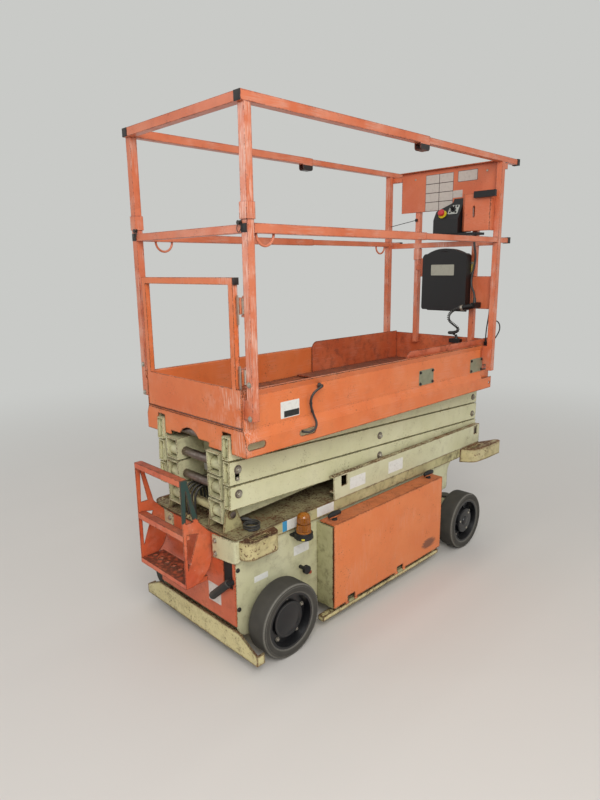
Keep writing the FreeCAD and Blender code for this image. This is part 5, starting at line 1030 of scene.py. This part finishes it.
# the sliding rails' plugs are caps that reach back over the tube
mesh = bmesh.new()
for side in (1, -1):
    for front, z in ((1.069, TOP_Z), (1.012, MID_Z)):
        square_plug(mesh, (front, side * RAIL_Y, z), (1, 0, 0),
                    [(0.0154, -0.024), (0.0166, -0.022), (0.0166, 0.003), (0.0140, 0.0055)], caps=1)
keep("sliding_rail_plugs", mesh, polyethylene, "extension")
mesh = bmesh.new()
square_plug(mesh, (-0.923, -0.318, 1.558), (0, -1, 0), chamfered(0.022))
square_plug(mesh, (-0.923, -0.322, 1.558), (0, -1, 0), chamfered(0.026))
keep("gate_plug", mesh, polyethylene, "entry_gate")
mesh = bmesh.new()
for side in (1, -1):
    for z in (1.185, 1.057):
        turned(mesh, [(0.0115, 0), (0.0115, 0.0016), (0.0085, 0.0020), (0.0080, 0.0050), (0.0045, 0.0072),
                      (0, 0.0076)], (-0.915, side * 0.371, z), (-1, 0, 0), 20)
keep("post_foot_bolts", mesh, zinc, "platform")
# snap pins through the sleeves, each with its wire ring
blued_steel = dusty_moulding("blued_spring_steel", "#211D1B", "#5A4A40", 0.4, 1.0, dust_share=0.3)
RING_R, WIRE_R = 0.0150, 0.0016
mesh = bmesh.new()
for pin, drop in (((-0.9145, -0.352, 1.757), 0.0165), ((-0.9145, 0.350, 1.764), 0.0150)):
    turned(mesh, [(0.0, 0.0), (0.0088, 0.0), (0.0088, 0.0022), (0.0050, 0.0030), (0.0050, 0.0095), (0.0078, 0.0105),
                  (0.0078, 0.0140), (0, 0.0150)], pin, (-1, 0, 0), 16)
    # the wire ring hangs from the pin's neck, a little turned
    middle = Vector(pin) + Vector((-0.0070, 0.002, -drop))
    rings = []
    for k in range(25):
        t = 2 * math.pi * k / 24
        around = Vector((0.15 * math.sin(t), 0.75 * math.cos(t), math.sin(t)))
        rings.append([mesh.verts.new(middle + around * RING_R
                                     + (around * math.cos(u) + Vector((-1, 0, 0)) * math.sin(u)) * WIRE_R)
                      for u in (math.pi * j / 3 for j in range(6))])
    skin(mesh, rings, caps=0)
keep("snap_pins", mesh, blued_steel, "platform")
# sprung gate hinges: the spring's turns show as close ribs round the pin
WIRE_PITCH = 0.004
mesh = bmesh.new()
for z in (1.180, 1.440):
    ribs = [(0.0081, z + 0.001)]
    for k in range(14):
        ribs += [(0.0094, z + 0.003 + WIRE_PITCH * k), (0.0083, z + 0.005 + WIRE_PITCH * k)]
    turned(mesh, ribs, (-0.901, -0.336, 0), (0, 0, 1), 24)
for z0, z1 in ((1.152, 1.252), (1.402, 1.508)):
    rounded_plate(mesh, (-0.9212, -0.3275, (z0 + z1) / 2), FACING_REAR, (0, 0, 1), 0.014, z1 - z0, 0.003, 0.0016)
keep("gate_hinge_springs", mesh, zinc, "entry_gate")


# Control panel, guard, console and manual box
# Folded orange sheet behind the front posts carries blank label film, a moulded nylon console with
# its stop button and key panel, a padded grab bar, and a moulded box for papers.
panel_orange = worn_enamel("orange_enamel_on_control_panel", "#CD663E", "#D5744C", chips=1.25, trodden=0.3,
                           soil=0.08, soil_and_shade_hex="#7A4030", scuffs=0.15, chalk=0.06, rough=0.42)
dress(panel_orange, "front_panel", "control_guard")
dress(moulded_nylon, "control_box", "manual_box")
grey_film = vinyl("grey_vinyl_film", "#C6BCB2", "#94887E", 0.4)
FRONT_FACE, ON_BORDER = 0.900, 0.8996
plates("blank_panel_labels", grey_film, "extension",
       [((ON_BORDER, 0.0645 - 0.0935 * column, 2.1030 - 0.0515 * row), 0.0895, 0.0475, 0.002)
        for column in (0, 1) for row in range(4)]
       + [((ON_BORDER, -0.166, 2.100), 0.119, 0.055), ((FRONT_FACE, -0.106, 2.006), 0.062, 0.040)],
       across=FACING_REAR)
border_film = vinyl("dark_border_of_film", "#4A3B36", "#6A5A52", 0.5)
plates("label_borders", border_film, "extension",
       [((FRONT_FACE, 0.01775, 2.02575), 0.187, 0.206), ((FRONT_FACE, -0.166, 2.100), 0.124, 0.060, 0.004)],
       across=FACING_REAR)
box_film = vinyl("faded_foil_label", "#A9A898", "#8B8A7C", 0.6)
plates("blank_box_label", box_film, "extension", [((0.846, -0.058, 1.579), 0.155, 0.062)],
       across=FACING_REAR, corner=0.004, thick=0.0006)
yellow_tag = vinyl("yellowed_plate_film", "#C9B45C", "#8C7A4A", 0.5)
TAG_Y, POST_TAG_THICK = -0.2215, 0.0014
plates("small_post_plate", yellow_tag, "extension", [((FRONT_FACE, TAG_Y, 1.588), 0.020, 0.074)],
       across=FACING_REAR, thick=POST_TAG_THICK)
mesh = bmesh.new()
for z in (1.617, 1.559):
    hex_bolt(mesh, (FRONT_FACE - POST_TAG_THICK, TAG_Y, z), (-1, 0, 0), 0.010, 0.0075)
for y in (0.185, -0.285):
    turned(mesh, [(0.006, 0), (0.0055, 0.002), (0.003, 0.003), (0, 0.0032)], (FRONT_FACE, y, 2.113), (-1, 0, 0), 16)
keep("panel_fasteners", mesh, zinc, "extension", sharp=20)

# the console's top slopes up to the front: what stands on it stands along SLOPE, and ALONG runs up it
SLOPE = Vector((-0.861, 0, 0.509))
ALONG = Vector((0.509, 0, 0.861))
CONSOLE_X, CONSOLE_Z = 0.800, 1.861
button_at = Vector((CONSOLE_X, -0.064, CONSOLE_Z)) + ALONG * 0.034
red_cap = dusty_moulding("moulded_red_cap", "#C22A2E", "#9A5A50", 0.32, 2.0, dust_share=0.2, bump=0.03, IOR=1.5)
yellow_ring = dusty_moulding("moulded_yellow_ring", "#D8C21E", "#9C9440", 0.42, 2.0, dust_share=0.3)
mesh = bmesh.new()
turned(mesh, [(0.0, 0.0045), (0.0239, 0.0045), (0.0245, 0.0035), (0.0245, 0.0)], button_at, SLOPE, 48)
keep("stop_ring", mesh, yellow_ring, "extension")
mesh = bmesh.new()
turned(mesh, [(0.0125, 0.0046), (0.0125, 0.0165), (0.0175, 0.0168), (0.0198, 0.0185), (0.0198, 0.0220),
              (0.0180, 0.0262), (0.0120, 0.0288), (0.0, 0.0295)], button_at, SLOPE, 48)
keep("stop_cap", mesh, red_cap, "extension")
pale_panel = vinyl("printed_key_panel", "#B9BBB2", "#6E6E66", 0.6)
key_at = Vector((CONSOLE_X, -0.1265, CONSOLE_Z)) + ALONG * 0.062
plates("key_panel", pale_panel, "extension", [(key_at, 0.062, 0.058)], across=FACING_REAR, up=ALONG,
       corner=0.005, thick=0.0012)
mesh = bmesh.new()
for dy, along in ((-0.018, 0.020), (0.0, 0.020), (0.018, 0.020), (-0.018, -0.018), (0.018, -0.018)):
    turned(mesh, [(0.0058, 0.0011), (0.0058, 0.0030), (0.0048, 0.0038), (0, 0.0040)],
           key_at + Vector((0, dy, 0)) + ALONG * along, SLOPE, 20)
# the catch of the manual box's lid, moulded with the same black nylon
rounded_plate(mesh, (0.846, -0.0675, 1.690), FACING_REAR, (0, 0, 1), 0.050, 0.012, 0.005, 0.004)
keep("console_keys", mesh, moulded_nylon, "extension")
mesh = bmesh.new()
lever_at = Vector((CONSOLE_X, -0.126, CONSOLE_Z)) + ALONG * 0.060
turned(mesh, [(0.0154, 0), (0.0154, 0.006), (0.0140, 0.0085), (0.0078, 0.0095), (0.0076, 0.024), (0.0098, 0.027),
              (0.0108, 0.031), (0.0098, 0.0345), (0.0, 0.036)], lever_at, SLOPE, 32)
keep("lift_lever_boot", mesh, moulded_nylon, "extension")
# the metal coupling ring between the curly lead's boot and its plug
mesh = bmesh.new()
turned(mesh, [(0.0154, -0.016), (0.0168, -0.015), (0.0168, -0.011), (0.0160, -0.010), (0.0168, -0.009),
              (0.0168, -0.003), (0.0154, -0.001)], SOCKET_AT, SOCKET_WAY, 32)
keep("plug_coupling_ring", mesh, zinc, "extension")


# Studio
# A hall's light: a pale sky of diffuse light, one broad softbox from behind the camera, rows of tubes
# overhead and a tall panel to the left, which give the gloss paint something to reflect.
def sight(tree):
    """1 for what the eye sees directly, in a gloss or through the amber dome, and 0 for stray light."""
    path = node(tree, "ShaderNodeLightPath")
    direct = node(tree, "ShaderNodeMath", {0: path.outputs["Is Camera Ray"], 1: path.outputs["Is Glossy Ray"]},
                  operation="ADD")
    return node(tree, "ShaderNodeMath", {0: direct.outputs[0], 1: path.outputs["Is Transmission Ray"]},
                operation="ADD", use_clamp=True).outputs[0]


bpy.ops.mesh.primitive_plane_add(size=60, location=(0, 0, 0))
floor = bpy.context.object
floor.name = "studio_floor"
concrete, tree, shader = substance("pale_studio_floor", Roughness=0.7, Base_Color=colour("#D5CFC8"))
reach = node(tree, "ShaderNodeVectorMath", {0: node(tree, "ShaderNodeTexCoord").outputs["Object"]},
             operation="LENGTH")
far_off = node(tree, "ShaderNodeMapRange", {"Value": reach.outputs["Value"], "From Min": 1.4, "From Max": 6.5},
               interpolation_type="SMOOTHSTEP")
far_off = node(tree, "ShaderNodeMath", {0: far_off.outputs[0], 1: sight(tree)}, operation="MULTIPLY")
BACKDROP = "#C9CAC7"
paper = node(tree, "ShaderNodeEmission", {"Color": colour(BACKDROP), "Strength": 1.0})
swept = node(tree, "ShaderNodeMixShader", {0: far_off.outputs[0], 1: shader.outputs[0], 2: paper.outputs[0]})
tree.links.new(swept.outputs[0], tree.nodes["Material Output"].inputs[0])
floor.data.materials.append(concrete)
world = bpy.data.worlds.new("studio")
bpy.context.scene.world = world
world.use_nodes = True
sky = world.node_tree
glow = sky.nodes["Background"]
glow.inputs[0].default_value = colour("#E8ECEE")
glow.inputs[1].default_value = 0.62
backdrop = node(sky, "ShaderNodeBackground", {"Color": colour(BACKDROP)})
seen = node(sky, "ShaderNodeMixShader", {0: sight(sky), 1: glow.outputs[0], 2: backdrop.outputs[0]})
sky.links.new(seen.outputs[0], sky.nodes["World Output"].inputs[0])


def panel_light(name, at, aim, width, height, watts):
    panel = bpy.data.lights.new(name, "AREA")
    panel.shape = "RECTANGLE"
    panel.size = width
    panel.size_y = height
    panel.energy = watts
    lamp = bpy.data.objects.new(name, panel)
    lamp.location = at
    lamp.rotation_euler = (Vector(aim) - lamp.location).to_track_quat("-Z", "Y").to_euler()
    bpy.context.scene.collection.objects.link(lamp)


panel_light("softbox", (-2.8, -3.2, 3.5), (0, 0, 0.8), 2.4, 2.4, 128)
panel_light("left_panel", (-3.9, 3.1, 2.4), (-0.9, -0.3, 1.7), 0.32, 2.2, 14)
for number, y in enumerate((-3.2, 0.4, 4.0)):
    panel_light("tube_row_%d" % (number + 1), (0.5, y, 5.2), (0.5, y, 0), 7.0, 0.25, 20)
bpy.context.scene.view_settings.view_transform = "Standard"
